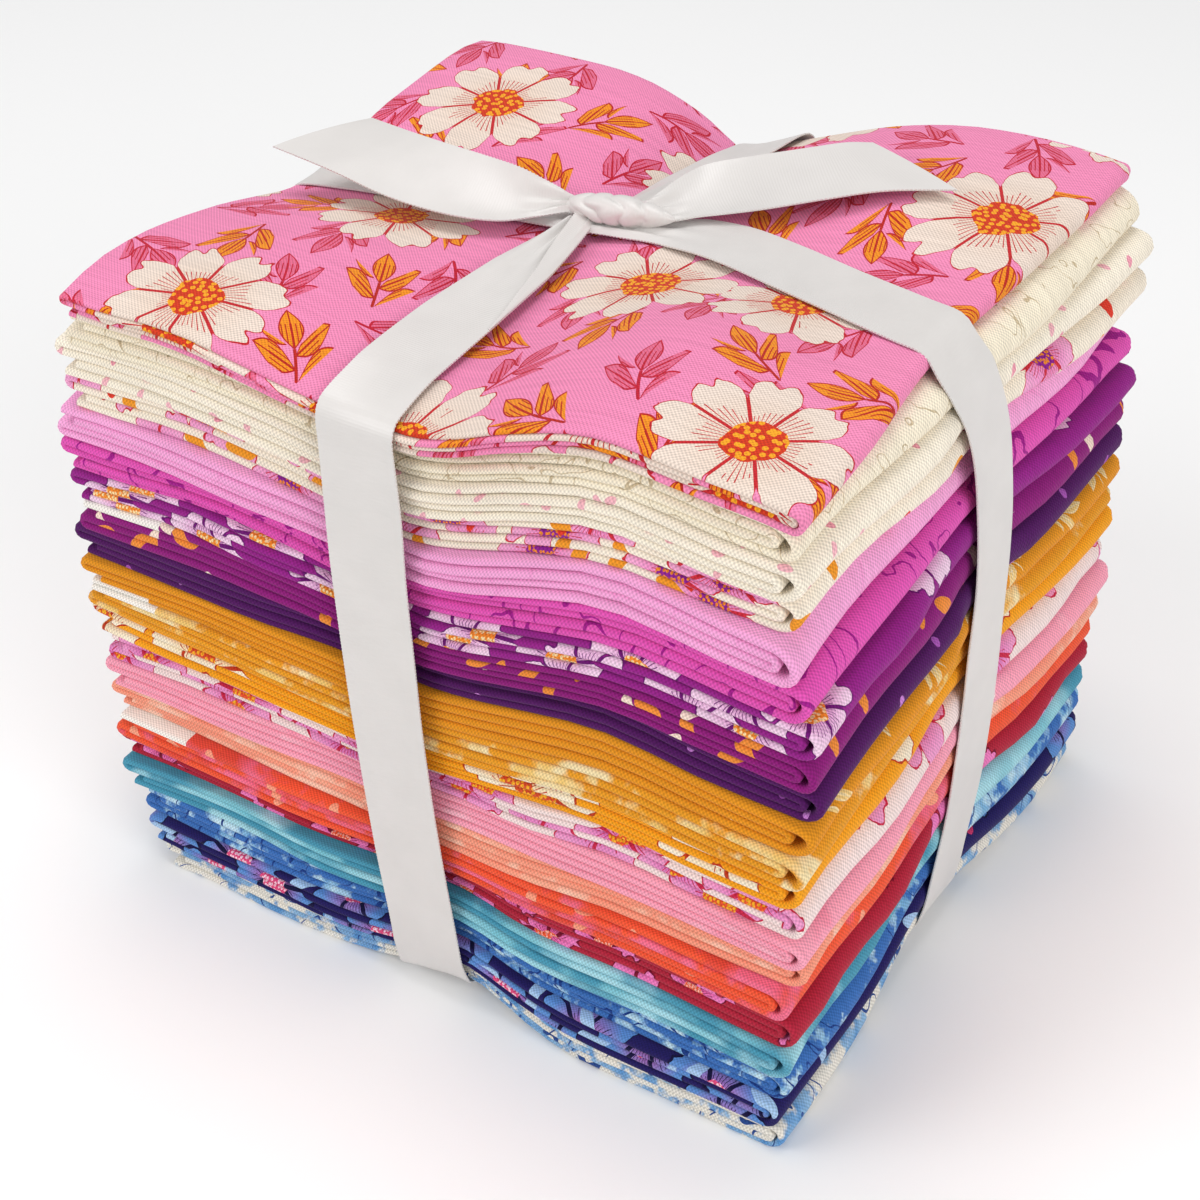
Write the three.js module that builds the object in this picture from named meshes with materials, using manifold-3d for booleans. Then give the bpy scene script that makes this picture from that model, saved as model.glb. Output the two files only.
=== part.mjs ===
// A bundle of fat quarters: folded quilting cottons in a stack, tied both ways with a satin ribbon.
// Millimetres, +Z up. X runs along the face with the folded ridges, Y from that face to the back,
// and the origin is under the middle of the stack, on the surface that it rests on.
import * as THREE from 'three';
import Module from 'manifold-3d';

// Stack, measured over its most proud quarters.
const halfLength = 72.5;
const halfWidth = 61.5;

// Each quarter is folded in half twice across, which makes a strip four plies thick, and in half
// twice along, which stacks that strip in four layers.
const layers = 4;
const layerThick = 1.25;
const layerGap = 0.25;
const quarterGap = 0.45;
const quarterThick = layers * layerThick + (layers - 1) * layerGap;
const pitch = quarterThick + quarterGap;

// Fold ends of one quarter's section.
const outerFoldRound = 2.0;
const outerFoldRelief = 0.3;
const innerFoldClear = 0.6;
const smallFoldRound = 0.5;
const rawEndTop = 1.5;
const rawEndInner = 4.0;

// The ribbon draws the stack in along two lines, and leaves a soft lobe at each corner.
const acrossX = -6;
const alongY = 5;
const grooveHalf = 28;
const lobeTop = { frontLeft: 127, frontRight: 132, backLeft: 127, backRight: 132 };
const dipAcross = 11;
const dipAlongLeft = 9;
const dipAlongRight = 4;
const liftAcross = 6.5;
const liftAlong = 5.5;
const waist = 2.6;

// Ribbon.
const ribbonWidth = 16;
const ribbonThick = 1;
const ribbonClear = 0.6;
const edgeRound = 1;
const gatheredWidth = 7;
const openingWidth = 13;
const knotRadius = { along: 9, across: 7, up: 4.4 };
const knotRise = 2.5;
const knotSides = 10;
const knotRings = 5;
const gatherDepth = 0.07;
const wrapRise = 1;

// Free tails: the middle of the cut end, how far the tail bows up on its way there, and how far its
// two edges run on and stop short at the slanted cut.
const leftTail = { tip: [-62, 2, 130.5], rise: 3, slant: 5 };
const rightTail = { tip: [38, 38, 136], rise: 2.5, slant: -8 };
const tailSteps = 4;
const tailOpens = 0.5;

// One row for each quarter, top to bottom. The four sides say how far it stands in from the stack's
// own sides, and a turned quarter has its raw end underneath.
const quarters = [
  { name: 'pink_flowers', colour: '#ee86c4', left: 2.0, right: 4.0, front: 0.5, back: 1.0, turned: true },
  { name: 'cream_sketch', colour: '#ede4d0', left: 3.0, right: 5.0, front: 2.0, back: 1.0, turned: false },
  { name: 'cream_speck', colour: '#f0e9da', left: 1.5, right: 4.5, front: 1.5, back: 0.5, turned: true },
  { name: 'cream_petals', colour: '#f0e6d8', left: 2.0, right: 5.5, front: 2.5, back: 1.5, turned: true },
  { name: 'light_pink', colour: '#efa3d6', left: 0.5, right: 4.5, front: 1.0, back: 1.0, turned: false },
  { name: 'orchid_lines', colour: '#da55bc', left: 1.5, right: 2.5, front: 1.5, back: 0.5, turned: true },
  { name: 'purple_flowers', colour: '#8c2090', left: 3.0, right: 1.0, front: 1.5, back: 1.0, turned: true },
  { name: 'plum_spots', colour: '#8e1e8c', left: 2.5, right: 1.5, front: 1.0, back: 2.0, turned: false },
  { name: 'dark_purple_dots', colour: '#4a1260', left: 1.0, right: 0.0, front: 2.0, back: 1.0, turned: true },
  { name: 'mustard_dashes', colour: '#d9962a', left: 1.5, right: 0.3, front: 1.0, back: 0.0, turned: true },
  { name: 'mustard_blotch', colour: '#e0a840', left: 0.5, right: 1.5, front: 0.5, back: 1.2, turned: false },
  { name: 'golden_flowers', colour: '#f0a820', left: 1.0, right: 2.0, front: 1.5, back: 0.8, turned: true },
  { name: 'orchid_flowers', colour: '#efd0dc', left: 2.0, right: 1.5, front: 2.0, back: 1.6, turned: false },
  { name: 'rose_pink', colour: '#f5a8cc', left: 1.2, right: 0.6, front: 1.5, back: 0.6, turned: true },
  { name: 'peach_blotch', colour: '#f59a80', left: 0.8, right: 1.8, front: 2.0, back: 1.2, turned: true },
  { name: 'coral', colour: '#ee5a3a', left: 1.4, right: 2.8, front: 0.6, back: 0.4, turned: false },
  { name: 'crimson_spots', colour: '#a8203a', left: 0.4, right: 2.2, front: 2.2, back: 1.4, turned: true },
  { name: 'aqua', colour: '#6fb8c8', left: 0.0, right: 2.6, front: 0.8, back: 0.8, turned: true },
  { name: 'blue_patches', colour: '#4f7fc0', left: 1.1, right: 3.2, front: 1.6, back: 0.0, turned: false },
  { name: 'navy_flowers', colour: '#1e1850', left: 1.6, right: 3.0, front: 0.0, back: 1.0, turned: true },
  { name: 'cream_blue', colour: '#e8e4dc', left: 2.4, right: 3.6, front: 0.7, back: 1.3, turned: true },
];
const stackThick = quarters.length * pitch - quarterGap;

// Where the section bends: the ribbon line and the lobes' edges on either side of it.
const nodesX = [acrossX - grooveHalf, acrossX, acrossX + grooveHalf];
const nodesY = [alongY - grooveHalf, alongY, alongY + grooveHalf];

// How far a point lies in a groove: 1 on the ribbon line, 0 on the lobes.
function groove(value, line) {
  return Math.max(0, 1 - Math.abs(value - line) / grooveHalf);
}

function topHeight(x, y) {
  const u = (x + halfLength) / (2 * halfLength);
  const v = (y + halfWidth) / (2 * halfWidth);
  const front = THREE.MathUtils.lerp(lobeTop.frontLeft, lobeTop.frontRight, u);
  const back = THREE.MathUtils.lerp(lobeTop.backLeft, lobeTop.backRight, u);
  const dipAlong = THREE.MathUtils.lerp(dipAlongLeft, dipAlongRight, u);
  const dip = Math.max(dipAcross * groove(x, acrossX), dipAlong * groove(y, alongY));
  return THREE.MathUtils.lerp(front, back, v) - dip;
}

function bottomHeight(x, y) {
  return Math.max(liftAcross * groove(x, acrossX), liftAlong * groove(y, alongY));
}

// Height of a point that is at z in the stack before the ribbon is tied.
function tiedHeight(x, y, z) {
  return THREE.MathUtils.lerp(bottomHeight(x, y), topHeight(x, y), z / stackThick);
}

// Section of one quarter as pairs of points, left and right of its path: the top layer from its raw
// end to the full fold, the bottom layer back, the left fold, and the two layers inside.
function foldStations(row) {
  const left = -halfLength + row.left;
  const right = halfLength - row.right;
  const inner = right - layerThick - innerFoldClear;
  const low = (layer) => layer * (layerThick + layerGap);
  const high = (layer) => low(layer) + layerThick;
  const station = (xa, za, xb, zb) => ({ a: [xa, za], b: [xb, zb] });
  const run = (xs, za, zb) => xs.map((x) => station(x, za, x, zb));
  const back = [...nodesX].reverse();
  return [
    ...run([left + rawEndTop, ...nodesX, right - outerFoldRound], high(3), low(3)),
    station(right, high(3) - outerFoldRound, right - layerThick, low(3) - outerFoldRelief),
    station(right, low(0) + outerFoldRound, right - layerThick, high(0) + outerFoldRelief),
    ...run([right - outerFoldRound, ...back], low(0), high(0)),
    station(left, low(0) + smallFoldRound, left + layerThick, high(0)),
    station(left, high(1) - smallFoldRound, left + layerThick, low(1)),
    ...run(nodesX, high(1), low(1)),
    station(inner - layerThick, high(1), inner, low(1) + smallFoldRound),
    station(inner - layerThick, low(2), inner, high(2) - smallFoldRound),
    ...run([...back, left + rawEndInner], low(2), high(2)),
  ];
}

// Loft of the section from the front face to the back, drawn in at the ribbon lines.
function quarterGeometry(row, base) {
  const stations = foldStations(row);
  const sections = [-halfWidth + row.front, ...nodesY, halfWidth - row.back];
  const last = sections.length - 1;
  const positions = [];
  sections.forEach((y, s) => {
    const endSide = s === 0 ? 1 : s === last ? -1 : 0;
    for (const { a, b } of stations) {
      for (const [x, z] of [a, b]) {
        const beyond = x < nodesX[0] ? 1 : x > nodesX[2] ? -1 : 0;
        const stackZ = base + (row.turned ? quarterThick - z : z);
        positions.push(
          x + beyond * waist * groove(y, alongY),
          y + endSide * waist * groove(x, acrossX),
          tiedHeight(x, y, stackZ),
        );
      }
    }
  });
  const count = stations.length;
  const a = (i, s) => 2 * (s * count + i);
  const b = (i, s) => a(i, s) + 1;
  const indices = [];
  const triangle = (p, q, r) => indices.push(p, ...(row.turned ? [r, q] : [q, r]));
  const quad = (p, q, r, s) => {
    triangle(p, q, r);
    triangle(p, r, s);
  };
  // Facing layers split their quads along the same diagonal, so that they never cross.
  const wall = (i, s) => {
    const leftward = stations[i + 1].a[0] < stations[i].a[0];
    const turn = (corners) => (leftward ? [...corners.slice(1), corners[0]] : corners);
    quad(...turn([a(i, s), a(i + 1, s), a(i + 1, s + 1), a(i, s + 1)]));
    quad(...turn([b(i, s), b(i, s + 1), b(i + 1, s + 1), b(i + 1, s)]));
  };
  for (let s = 0; s < last; s++) {
    quad(a(0, s), a(0, s + 1), b(0, s + 1), b(0, s));
    quad(a(count - 1, s), b(count - 1, s), b(count - 1, s + 1), a(count - 1, s + 1));
    for (let i = 0; i < count - 1; i++) wall(i, s);
  }
  for (let i = 0; i < count - 1; i++) {
    quad(a(i, 0), b(i, 0), b(i + 1, 0), a(i + 1, 0));
    quad(a(i, last), a(i + 1, last), b(i + 1, last), b(i, last));
  }
  return indexedGeometry(positions, indices);
}

function indexedGeometry(positions, indices) {
  const geometry = new THREE.BufferGeometry();
  geometry.setAttribute('position', new THREE.Float32BufferAttribute(positions, 3));
  geometry.setIndex(indices);
  geometry.computeVertexNormals();
  return geometry;
}

// Flat band along a route: each stop has its place, the direction across the band and its width, and
// slant moves one edge on and the other back, for an end that is cut at an angle.
function bandGeometry(stops) {
  const positions = [];
  stops.forEach((stop, i) => {
    const before = stops[Math.max(i - 1, 0)].at;
    const after = stops[Math.min(i + 1, stops.length - 1)].at;
    const along = after.clone().sub(before).normalize();
    const across = stop.across.clone().normalize();
    const up = across.clone().cross(along).normalize();
    for (const [side, level] of [[-1, -1], [1, -1], [1, 1], [-1, 1]]) {
      const corner = stop.at.clone()
        .addScaledVector(across, side * stop.width / 2)
        .addScaledVector(up, level * ribbonThick / 2)
        .addScaledVector(along, side * (stop.slant ?? 0));
      positions.push(corner.x, corner.y, corner.z);
    }
  });
  const indices = [];
  const end = 4 * (stops.length - 1);
  for (let i = 0; i < end; i += 4) {
    for (let k = 0; k < 4; k++) {
      const next = (k + 1) % 4;
      indices.push(i + k, i + 4 + next, i + next, i + k, i + 4 + k, i + 4 + next);
    }
  }
  indices.push(0, 1, 2, 0, 2, 3);
  indices.push(end, end + 2, end + 1, end, end + 3, end + 2);
  return indexedGeometry(positions, indices);
}

// Height of a flat band's middle above the stack, and below it, for a band that runs along Y at
// acrossX or along X at alongY. The band spans its groove, so its two edges set the height.
const bandLift = ribbonClear + ribbonThick / 2;
const halfBand = ribbonWidth / 2;
const grooveAtEdge = 1 - halfBand / grooveHalf;
function overAcross(y) {
  return Math.max(topHeight(acrossX - halfBand, y), topHeight(acrossX + halfBand, y)) + bandLift;
}
function overAlong(x) {
  return Math.max(topHeight(x, alongY - halfBand), topHeight(x, alongY + halfBand)) + bandLift;
}

// The wrap along X lies against the stack underneath, and the wrap across dips below it there.
const underAlong = liftAlong * grooveAtEdge - bandLift;
const underAcross = liftAcross * grooveAtEdge - bandLift;
const underCrossing = underAlong - ribbonThick - ribbonClear;

const knotCentre = new THREE.Vector3(acrossX, alongY, overAcross(alongY) + knotRise);

// One wrap as stops in its own plane: s runs along the wrap's level axis from the knot, over one
// side, underneath and back to the knot over the other side.
function wrapStops(place, across, knotS, half, over, under, crossing) {
  const face = half - waist * grooveAtEdge + bandLift;
  const stops = [];
  const add = (s, z, width = ribbonWidth) => stops.push({ at: place(s, z), across, width });
  const topRun = (sign) => [
    [knotS, over(knotS) + wrapRise, gatheredWidth],
    [knotS + sign * grooveHalf / 2, over(knotS + sign * grooveHalf / 2), openingWidth],
    [knotS + sign * grooveHalf, over(knotS + sign * grooveHalf)],
    [sign * (face - edgeRound), over(sign * face)],
    [sign * face, over(sign * face) - edgeRound],
  ];
  const bottomRun = (sign) => [
    [sign * face, under + edgeRound],
    [sign * (face - edgeRound), under],
    [knotS + sign * grooveHalf, under],
    [knotS + sign * (halfBand + 2 * ribbonClear), crossing],
  ];
  for (const stop of topRun(-1)) add(...stop);
  for (const stop of bottomRun(-1)) add(...stop);
  for (const stop of bottomRun(1).reverse()) add(...stop);
  for (const stop of topRun(1).reverse()) add(...stop);
  return stops;
}

function wrapAcross() {
  const place = (s, z) => new THREE.Vector3(acrossX, s, z);
  const across = new THREE.Vector3(-1, 0, 0);
  return bandGeometry(
    wrapStops(place, across, alongY, halfWidth, overAcross, underAcross, underCrossing),
  );
}

function wrapAlong() {
  const place = (s, z) => new THREE.Vector3(s, alongY, z);
  const across = new THREE.Vector3(0, 1, 0);
  return bandGeometry(
    wrapStops(place, across, acrossX, halfLength, overAlong, underAlong, underAlong),
  );
}

// Free tail from the knot to its cut end: it opens from the gathers to its full width, and rises
// clear of the lobe below it.
function tailGeometry({ tip, rise, slant }) {
  const end = new THREE.Vector3(...tip);
  const flat = end.clone().sub(knotCentre).setZ(0);
  const across = new THREE.Vector3(0, 0, 1).cross(flat).normalize();
  const stops = [];
  for (let i = 0; i <= tailSteps; i++) {
    const t = i / tailSteps;
    const at = knotCentre.clone().lerp(end, t);
    at.z += rise * Math.sin(Math.PI * t);
    const open = THREE.MathUtils.smoothstep(t, 0, tailOpens);
    const width = THREE.MathUtils.lerp(gatheredWidth, ribbonWidth, open);
    stops.push({ at, across, width, slant: i === tailSteps ? slant : 0 });
  }
  return bandGeometry(stops);
}

// Knot: a squashed ball, drawn in by the gathers that run round it.
function knotGeometry() {
  const positions = [];
  const ring = (i, k) => 1 + (i - 1) * knotSides + (k % knotSides);
  positions.push(0, 0, -knotRadius.up);
  for (let i = 1; i < knotRings; i++) {
    const tilt = Math.PI * (i / knotRings - 0.5);
    for (let k = 0; k < knotSides; k++) {
      const turn = 2 * Math.PI * k / knotSides;
      const gather = 1 + (k % 2 ? -gatherDepth : gatherDepth);
      positions.push(
        knotRadius.along * gather * Math.cos(tilt) * Math.cos(turn),
        knotRadius.across * gather * Math.cos(tilt) * Math.sin(turn),
        knotRadius.up * Math.sin(tilt),
      );
    }
  }
  positions.push(0, 0, knotRadius.up);
  const top = positions.length / 3 - 1;
  const indices = [];
  for (let k = 0; k < knotSides; k++) {
    indices.push(0, ring(1, k + 1), ring(1, k));
    indices.push(top, ring(knotRings - 1, k), ring(knotRings - 1, k + 1));
    for (let i = 1; i < knotRings - 1; i++) {
      indices.push(ring(i, k), ring(i, k + 1), ring(i + 1, k + 1));
      indices.push(ring(i, k), ring(i + 1, k + 1), ring(i + 1, k));
    }
  }
  return indexedGeometry(positions, indices).translate(knotCentre.x, knotCentre.y, knotCentre.z);
}

// The ribbon is one length, so its runs are joined where they meet in the knot.
const wasm = await Module();
wasm.setup();

function toSolid(geometry) {
  return new wasm.Manifold(new wasm.Mesh({
    numProp: 3,
    vertProperties: new Float32Array(geometry.getAttribute('position').array),
    triVerts: new Uint32Array(geometry.getIndex().array),
  }));
}

function ribbonGeometry() {
  const runs = [wrapAcross(), wrapAlong(), tailGeometry(leftTail), tailGeometry(rightTail)];
  let solid = toSolid(knotGeometry());
  for (const run of runs) solid = solid.add(toSolid(run));
  const mesh = solid.getMesh();
  return indexedGeometry(Array.from(mesh.vertProperties), Array.from(mesh.triVerts));
}

const bundle = new THREE.Group();

function addPiece(name, geometry, colour, roughness) {
  const material = new THREE.MeshStandardMaterial({ color: colour, roughness, metalness: 0 });
  const piece = new THREE.Mesh(geometry, material);
  piece.name = name;
  bundle.add(piece);
}

quarters.forEach((row, i) => {
  const base = (quarters.length - 1 - i) * pitch;
  const number = String(i + 1).padStart(2, '0');
  addPiece(`quarter_${number}_${row.name}`, quarterGeometry(row, base), row.colour, 0.9);
});
addPiece('ribbon', ribbonGeometry(), '#ece8e4', 0.45);

export default bundle;
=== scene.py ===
import math

import bpy
import numpy as np
from mathutils import Matrix, Vector, noise


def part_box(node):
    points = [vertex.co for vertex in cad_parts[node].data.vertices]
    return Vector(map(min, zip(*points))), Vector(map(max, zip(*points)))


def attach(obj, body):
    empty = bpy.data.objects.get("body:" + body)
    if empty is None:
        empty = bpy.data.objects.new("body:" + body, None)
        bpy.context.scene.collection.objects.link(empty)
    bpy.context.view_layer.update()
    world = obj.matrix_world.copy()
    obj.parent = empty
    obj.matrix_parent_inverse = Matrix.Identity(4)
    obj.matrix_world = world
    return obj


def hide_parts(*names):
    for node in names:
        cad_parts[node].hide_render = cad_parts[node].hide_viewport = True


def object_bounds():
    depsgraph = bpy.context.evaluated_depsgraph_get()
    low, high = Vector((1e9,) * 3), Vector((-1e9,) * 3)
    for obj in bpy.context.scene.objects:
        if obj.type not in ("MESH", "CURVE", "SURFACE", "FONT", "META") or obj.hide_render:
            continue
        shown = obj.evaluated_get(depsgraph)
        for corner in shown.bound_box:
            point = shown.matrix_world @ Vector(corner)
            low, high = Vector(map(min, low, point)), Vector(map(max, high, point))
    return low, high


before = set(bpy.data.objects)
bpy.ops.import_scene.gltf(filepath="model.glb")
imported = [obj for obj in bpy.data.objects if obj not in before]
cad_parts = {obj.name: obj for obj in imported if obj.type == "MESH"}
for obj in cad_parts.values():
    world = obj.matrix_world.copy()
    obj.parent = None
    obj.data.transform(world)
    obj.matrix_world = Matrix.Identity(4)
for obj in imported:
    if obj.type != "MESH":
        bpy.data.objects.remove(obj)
cadLow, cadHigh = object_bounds()
mm = 0.001
quarterNames = sorted(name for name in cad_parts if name.startswith("quarter_"))
print("frame loaded:", len(quarterNames), "quarters and a ribbon")

# Node work shared by every material

maths = "ShaderNodeMath"
vectorMaths = "ShaderNodeVectorMath"
rangeMap = "ShaderNodeMapRange"
noiseMap = "ShaderNodeTexNoise"
mixer = "ShaderNodeMix"
onColors = {"out": 2, "data_type": "RGBA"}  # a mixer of colours: sockets 0, 6 and 7 in, 2 out


def hexColor(code):
    values = [int(code[i:i + 2], 16) / 255 for i in (1, 3, 5)]
    linear = [v / 12.92 if v <= 0.04045 else ((v + 0.055) / 1.055) ** 2.4 for v in values]
    return (*linear, 1.0)


def addNode(tree, kind, values=(), out=0, **settings):  # out=None hands back the node itself
    node = tree.nodes.new(kind)
    for name, value in settings.items():
        setattr(node, name, value)
    pairs = values.items() if isinstance(values, dict) else enumerate(values)
    for key, value in pairs:
        if isinstance(value, bpy.types.NodeSocket):
            tree.links.new(value, node.inputs[key])
        elif value is not None:
            node.inputs[key].default_value = value
    return node if out is None else node.outputs[out]


def newMaterial(name):  # a material with nothing in its tree yet
    material = bpy.data.materials.new(name)
    material.use_nodes = True
    material.node_tree.nodes.clear()
    return material, material.node_tree


def putIn(name, data):  # a new object in the scene
    piece = bpy.data.objects.new(name, data)
    bpy.context.scene.collection.objects.link(piece)
    return piece


def newGroup(name, inputs, outputs):  # inputs and outputs: socket name to socket kind
    tree = bpy.data.node_groups.new(name, "ShaderNodeTree")
    for direction, sockets in (("INPUT", inputs), ("OUTPUT", outputs)):
        for socket, kind in sockets.items():
            tree.interface.new_socket(socket, in_out=direction, socket_type="NodeSocket" + kind)
    return tree, tree.nodes.new("NodeGroupInput").outputs, tree.nodes.new("NodeGroupOutput").inputs


# Plain weave, seen as rows of small lumps with pinholes between the threads. Its height makes the bump and
# also painted shade in the colour: darker in the pinholes, lighter on the tops of the threads

weave = {
    "pitch": 0.35 * mm,  # between threads
    "slub": 9.0 * mm, "slubHeight": 0.12,  # a thicker stretch of thread, its height a share of a thread's
}


def weaveGroup():
    tree, given, result = newGroup("plainWeave", {"Vector": "Vector"}, {"Height": "Float"})
    turns = addNode(tree, vectorMaths, {0: given["Vector"], "Scale": math.pi / weave["pitch"]},
                    operation="SCALE")
    axes = addNode(tree, "ShaderNodeSeparateXYZ", (turns,), out=None).outputs
    warp = addNode(tree, maths, (axes[0],), operation="SINE")
    weft = addNode(tree, maths, (axes[1],), operation="SINE")
    crossing = addNode(tree, maths, (warp, weft), operation="MULTIPLY")  # warp on top, then weft on top
    height = addNode(tree, maths, (crossing, 0.5, 0.5), operation="MULTIPLY_ADD")
    stretched = addNode(tree, vectorMaths, (given["Vector"], (1 / weave["slub"], 1 / weave["pitch"], 0)),
                        operation="MULTIPLY")
    slub = addNode(tree, noiseMap, {"Vector": stretched, "Scale": 0.5, "Detail": 1.0})
    slub = addNode(tree, rangeMap, {0: slub, 1: 0.3, 2: 0.7, 3: -weave["slubHeight"], 4: weave["slubHeight"]})
    tree.links.new(addNode(tree, maths, (height, slub), operation="ADD"), result["Height"])
    return tree


# Prints. Each group gives the ink's cover and its colour at a place on the flat cloth, in metres


def cellOf(tree, vector, cell, randomness):  # local place in metres and three random numbers for each cell
    scaled = addNode(tree, vectorMaths, (vector, cell), operation="DIVIDE")
    cells = addNode(tree, "ShaderNodeTexVoronoi", {"Vector": scaled, "Scale": 1.0, "Randomness": randomness},
                    out=None, voronoi_dimensions="2D")
    local = addNode(tree, vectorMaths, (scaled, cells.outputs["Position"]), operation="SUBTRACT")
    local = addNode(tree, vectorMaths, {0: local, 1: cell}, operation="MULTIPLY")
    random = addNode(tree, "ShaderNodeSeparateColor", (cells.outputs["Color"],), out=None).outputs
    return local, random


blossomForm = {  # shares of the flower's radius, where nothing else is said
    "stray": 0.42,  # off the grid, as a share of a cell
    "smallest": 0.8,
    "wobble": 0.34, "wobbleScale": 3.2,  # unevenness of a drawn outline
    "gapDepth": 0.36, "gapCurve": 3.0,  # the outline falls back between petals
    "notch": 0.09, "notchWidth": 0.3,  # at the tip of each petal, its width a share of half a petal
    "throat": (0.15, 0.75), "throatInk": 0.75,
    "veins": 7.0, "veinWidth": 0.1, "veinEnd": 0.5, "veinStray": 0.9,  # veins in each petal
    "eye": 0.31, "eyeStray": 0.3, "dotsAcross": 14.0, "dotSize": 0.36,
}


def blossomGroup():  # round flowers: notched petals, drawn edges and veins, a dotted eye
    tree, given, result = newGroup(
        "blossomPrint",
        {"Vector": "Vector", "Cell": "Float", "Radius": "Float", "Petals": "Float", "Line": "Float",
         "Petal": "Color", "Throat": "Color", "Outline": "Color", "Eye": "Color", "Dots": "Color"},
        {"Cover": "Float", "Color": "Color"})
    local, random = cellOf(tree, given["Vector"], given["Cell"], blossomForm["stray"])
    place = addNode(tree, "ShaderNodeSeparateXYZ", (local,), out=None).outputs
    reach = addNode(tree, vectorMaths, (local,), out="Value", operation="LENGTH")
    turn = addNode(tree, maths, (place[1], place[0]), operation="ARCTAN2")
    turn = addNode(tree, maths, (random[0], 2 * math.pi, turn), operation="MULTIPLY_ADD")
    wobbleAt = addNode(tree, vectorMaths, (given["Vector"], given["Radius"]), operation="DIVIDE")
    wobble = addNode(tree, noiseMap, {
        "Vector": wobbleAt, "Scale": blossomForm["wobbleScale"], "Detail": 2.0})
    wobble = addNode(tree, maths, (wobble, 0.5), operation="SUBTRACT")
    petal = addNode(tree, maths, (turn, given["Petals"]), operation="MULTIPLY")
    petal = addNode(tree, maths, (petal, 0.5 / math.pi), operation="MULTIPLY")
    petal = addNode(tree, maths, (petal,), operation="FRACT")
    petal = addNode(tree, maths, (petal, 0.5), operation="SUBTRACT")
    aside = addNode(tree, maths, (petal,), operation="ABSOLUTE")
    aside = addNode(tree, maths, (aside, 2.0), operation="MULTIPLY")  # 0 mid petal, 1 between petals
    fall = addNode(tree, maths, (aside, blossomForm["gapCurve"]), operation="POWER")
    shape = addNode(tree, maths, (fall, -blossomForm["gapDepth"], 1.0), operation="MULTIPLY_ADD")
    notch = addNode(tree, rangeMap, {
        0: aside, 1: 0.0, 2: blossomForm["notchWidth"], 3: blossomForm["notch"], 4: 0.0},
        interpolation_type="SMOOTHSTEP")
    shape = addNode(tree, maths, (shape, notch), operation="SUBTRACT")
    shape = addNode(tree, maths, (wobble, blossomForm["wobble"], shape), operation="MULTIPLY_ADD")
    size = addNode(tree, rangeMap, {0: random[1], 3: blossomForm["smallest"], 4: 1.0})
    size = addNode(tree, maths, (size, given["Radius"]), operation="MULTIPLY")
    edge = addNode(tree, maths, (size, shape), operation="MULTIPLY")
    inside = addNode(tree, maths, (edge, reach), operation="SUBTRACT")  # metres in from the outline
    cover = addNode(tree, maths, (inside, 0.0), operation="GREATER_THAN")
    share = addNode(tree, maths, (reach, size), operation="DIVIDE")
    near, far = blossomForm["throat"]
    throat = addNode(tree, rangeMap, {0: share, 1: near, 2: far, 3: blossomForm["throatInk"], 4: 0.0})
    color = addNode(tree, mixer, {0: throat, 6: given["Petal"], 7: given["Throat"]}, **onColors)
    rim = addNode(tree, maths, (inside, given["Line"]), operation="LESS_THAN")
    gap = addNode(tree, maths, (1.0, aside), operation="SUBTRACT")
    gap = addNode(tree, maths, (gap, reach), operation="MULTIPLY")
    gap = addNode(tree, maths, (gap, math.pi), operation="MULTIPLY")
    gap = addNode(tree, maths, (gap, given["Petals"]), operation="DIVIDE")
    gap = addNode(tree, maths, (gap, given["Line"]), operation="LESS_THAN")
    vein = addNode(tree, maths, (petal, blossomForm["veins"]), operation="MULTIPLY")
    vein = addNode(tree, maths, (vein,), operation="FRACT")
    vein = addNode(tree, maths, (vein, 0.5), operation="SUBTRACT")
    vein = addNode(tree, maths, (vein,), operation="ABSOLUTE")
    veinEnd = addNode(tree, maths, (wobble, blossomForm["veinStray"], blossomForm["veinEnd"]),
                      operation="MULTIPLY_ADD")
    veinEnd = addNode(tree, maths, (share, veinEnd), operation="LESS_THAN")
    vein = addNode(tree, maths, (vein, blossomForm["veinWidth"]), operation="LESS_THAN")
    vein = addNode(tree, maths, (vein, veinEnd), operation="MULTIPLY")
    ink = addNode(tree, maths, (rim, gap), operation="MAXIMUM")
    ink = addNode(tree, maths, (ink, vein), operation="MAXIMUM")
    color = addNode(tree, mixer, {0: ink, 6: color, 7: given["Outline"]}, **onColors)
    eyeEdge = addNode(tree, maths, (wobble, blossomForm["eyeStray"], blossomForm["eye"]),
                      operation="MULTIPLY_ADD")
    eye = addNode(tree, maths, (share, eyeEdge), operation="LESS_THAN")
    dotAt = addNode(tree, vectorMaths, {0: wobbleAt, "Scale": blossomForm["dotsAcross"]}, operation="SCALE")
    dots = addNode(tree, "ShaderNodeTexVoronoi", {"Vector": dotAt, "Scale": 1.0, "Randomness": 0.7},
                   voronoi_dimensions="2D")
    dots = addNode(tree, maths, (dots, blossomForm["dotSize"]), operation="LESS_THAN")
    eyeColor = addNode(tree, mixer, {0: dots, 6: given["Eye"], 7: given["Dots"]}, **onColors)
    color = addNode(tree, mixer, {0: eye, 6: color, 7: eyeColor}, **onColors)
    tree.links.new(color, result["Color"])
    tree.links.new(cover, result["Cover"])
    return tree


sprigForm = {
    "stray": 0.25,  # off the grid, as a share of a cell
    "lean": 40,  # leaves lean this far off the stem, degrees
    "bend": 0.5, "stem": 0.15,  # bow of a stem and half its length, as shares of a cell
    "rib": 0.12 * mm, "stroke": 0.2 * mm, "strokePitch": 0.7 * mm, "strokeEnd": 0.62,  # lines inside a leaf
}


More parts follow.
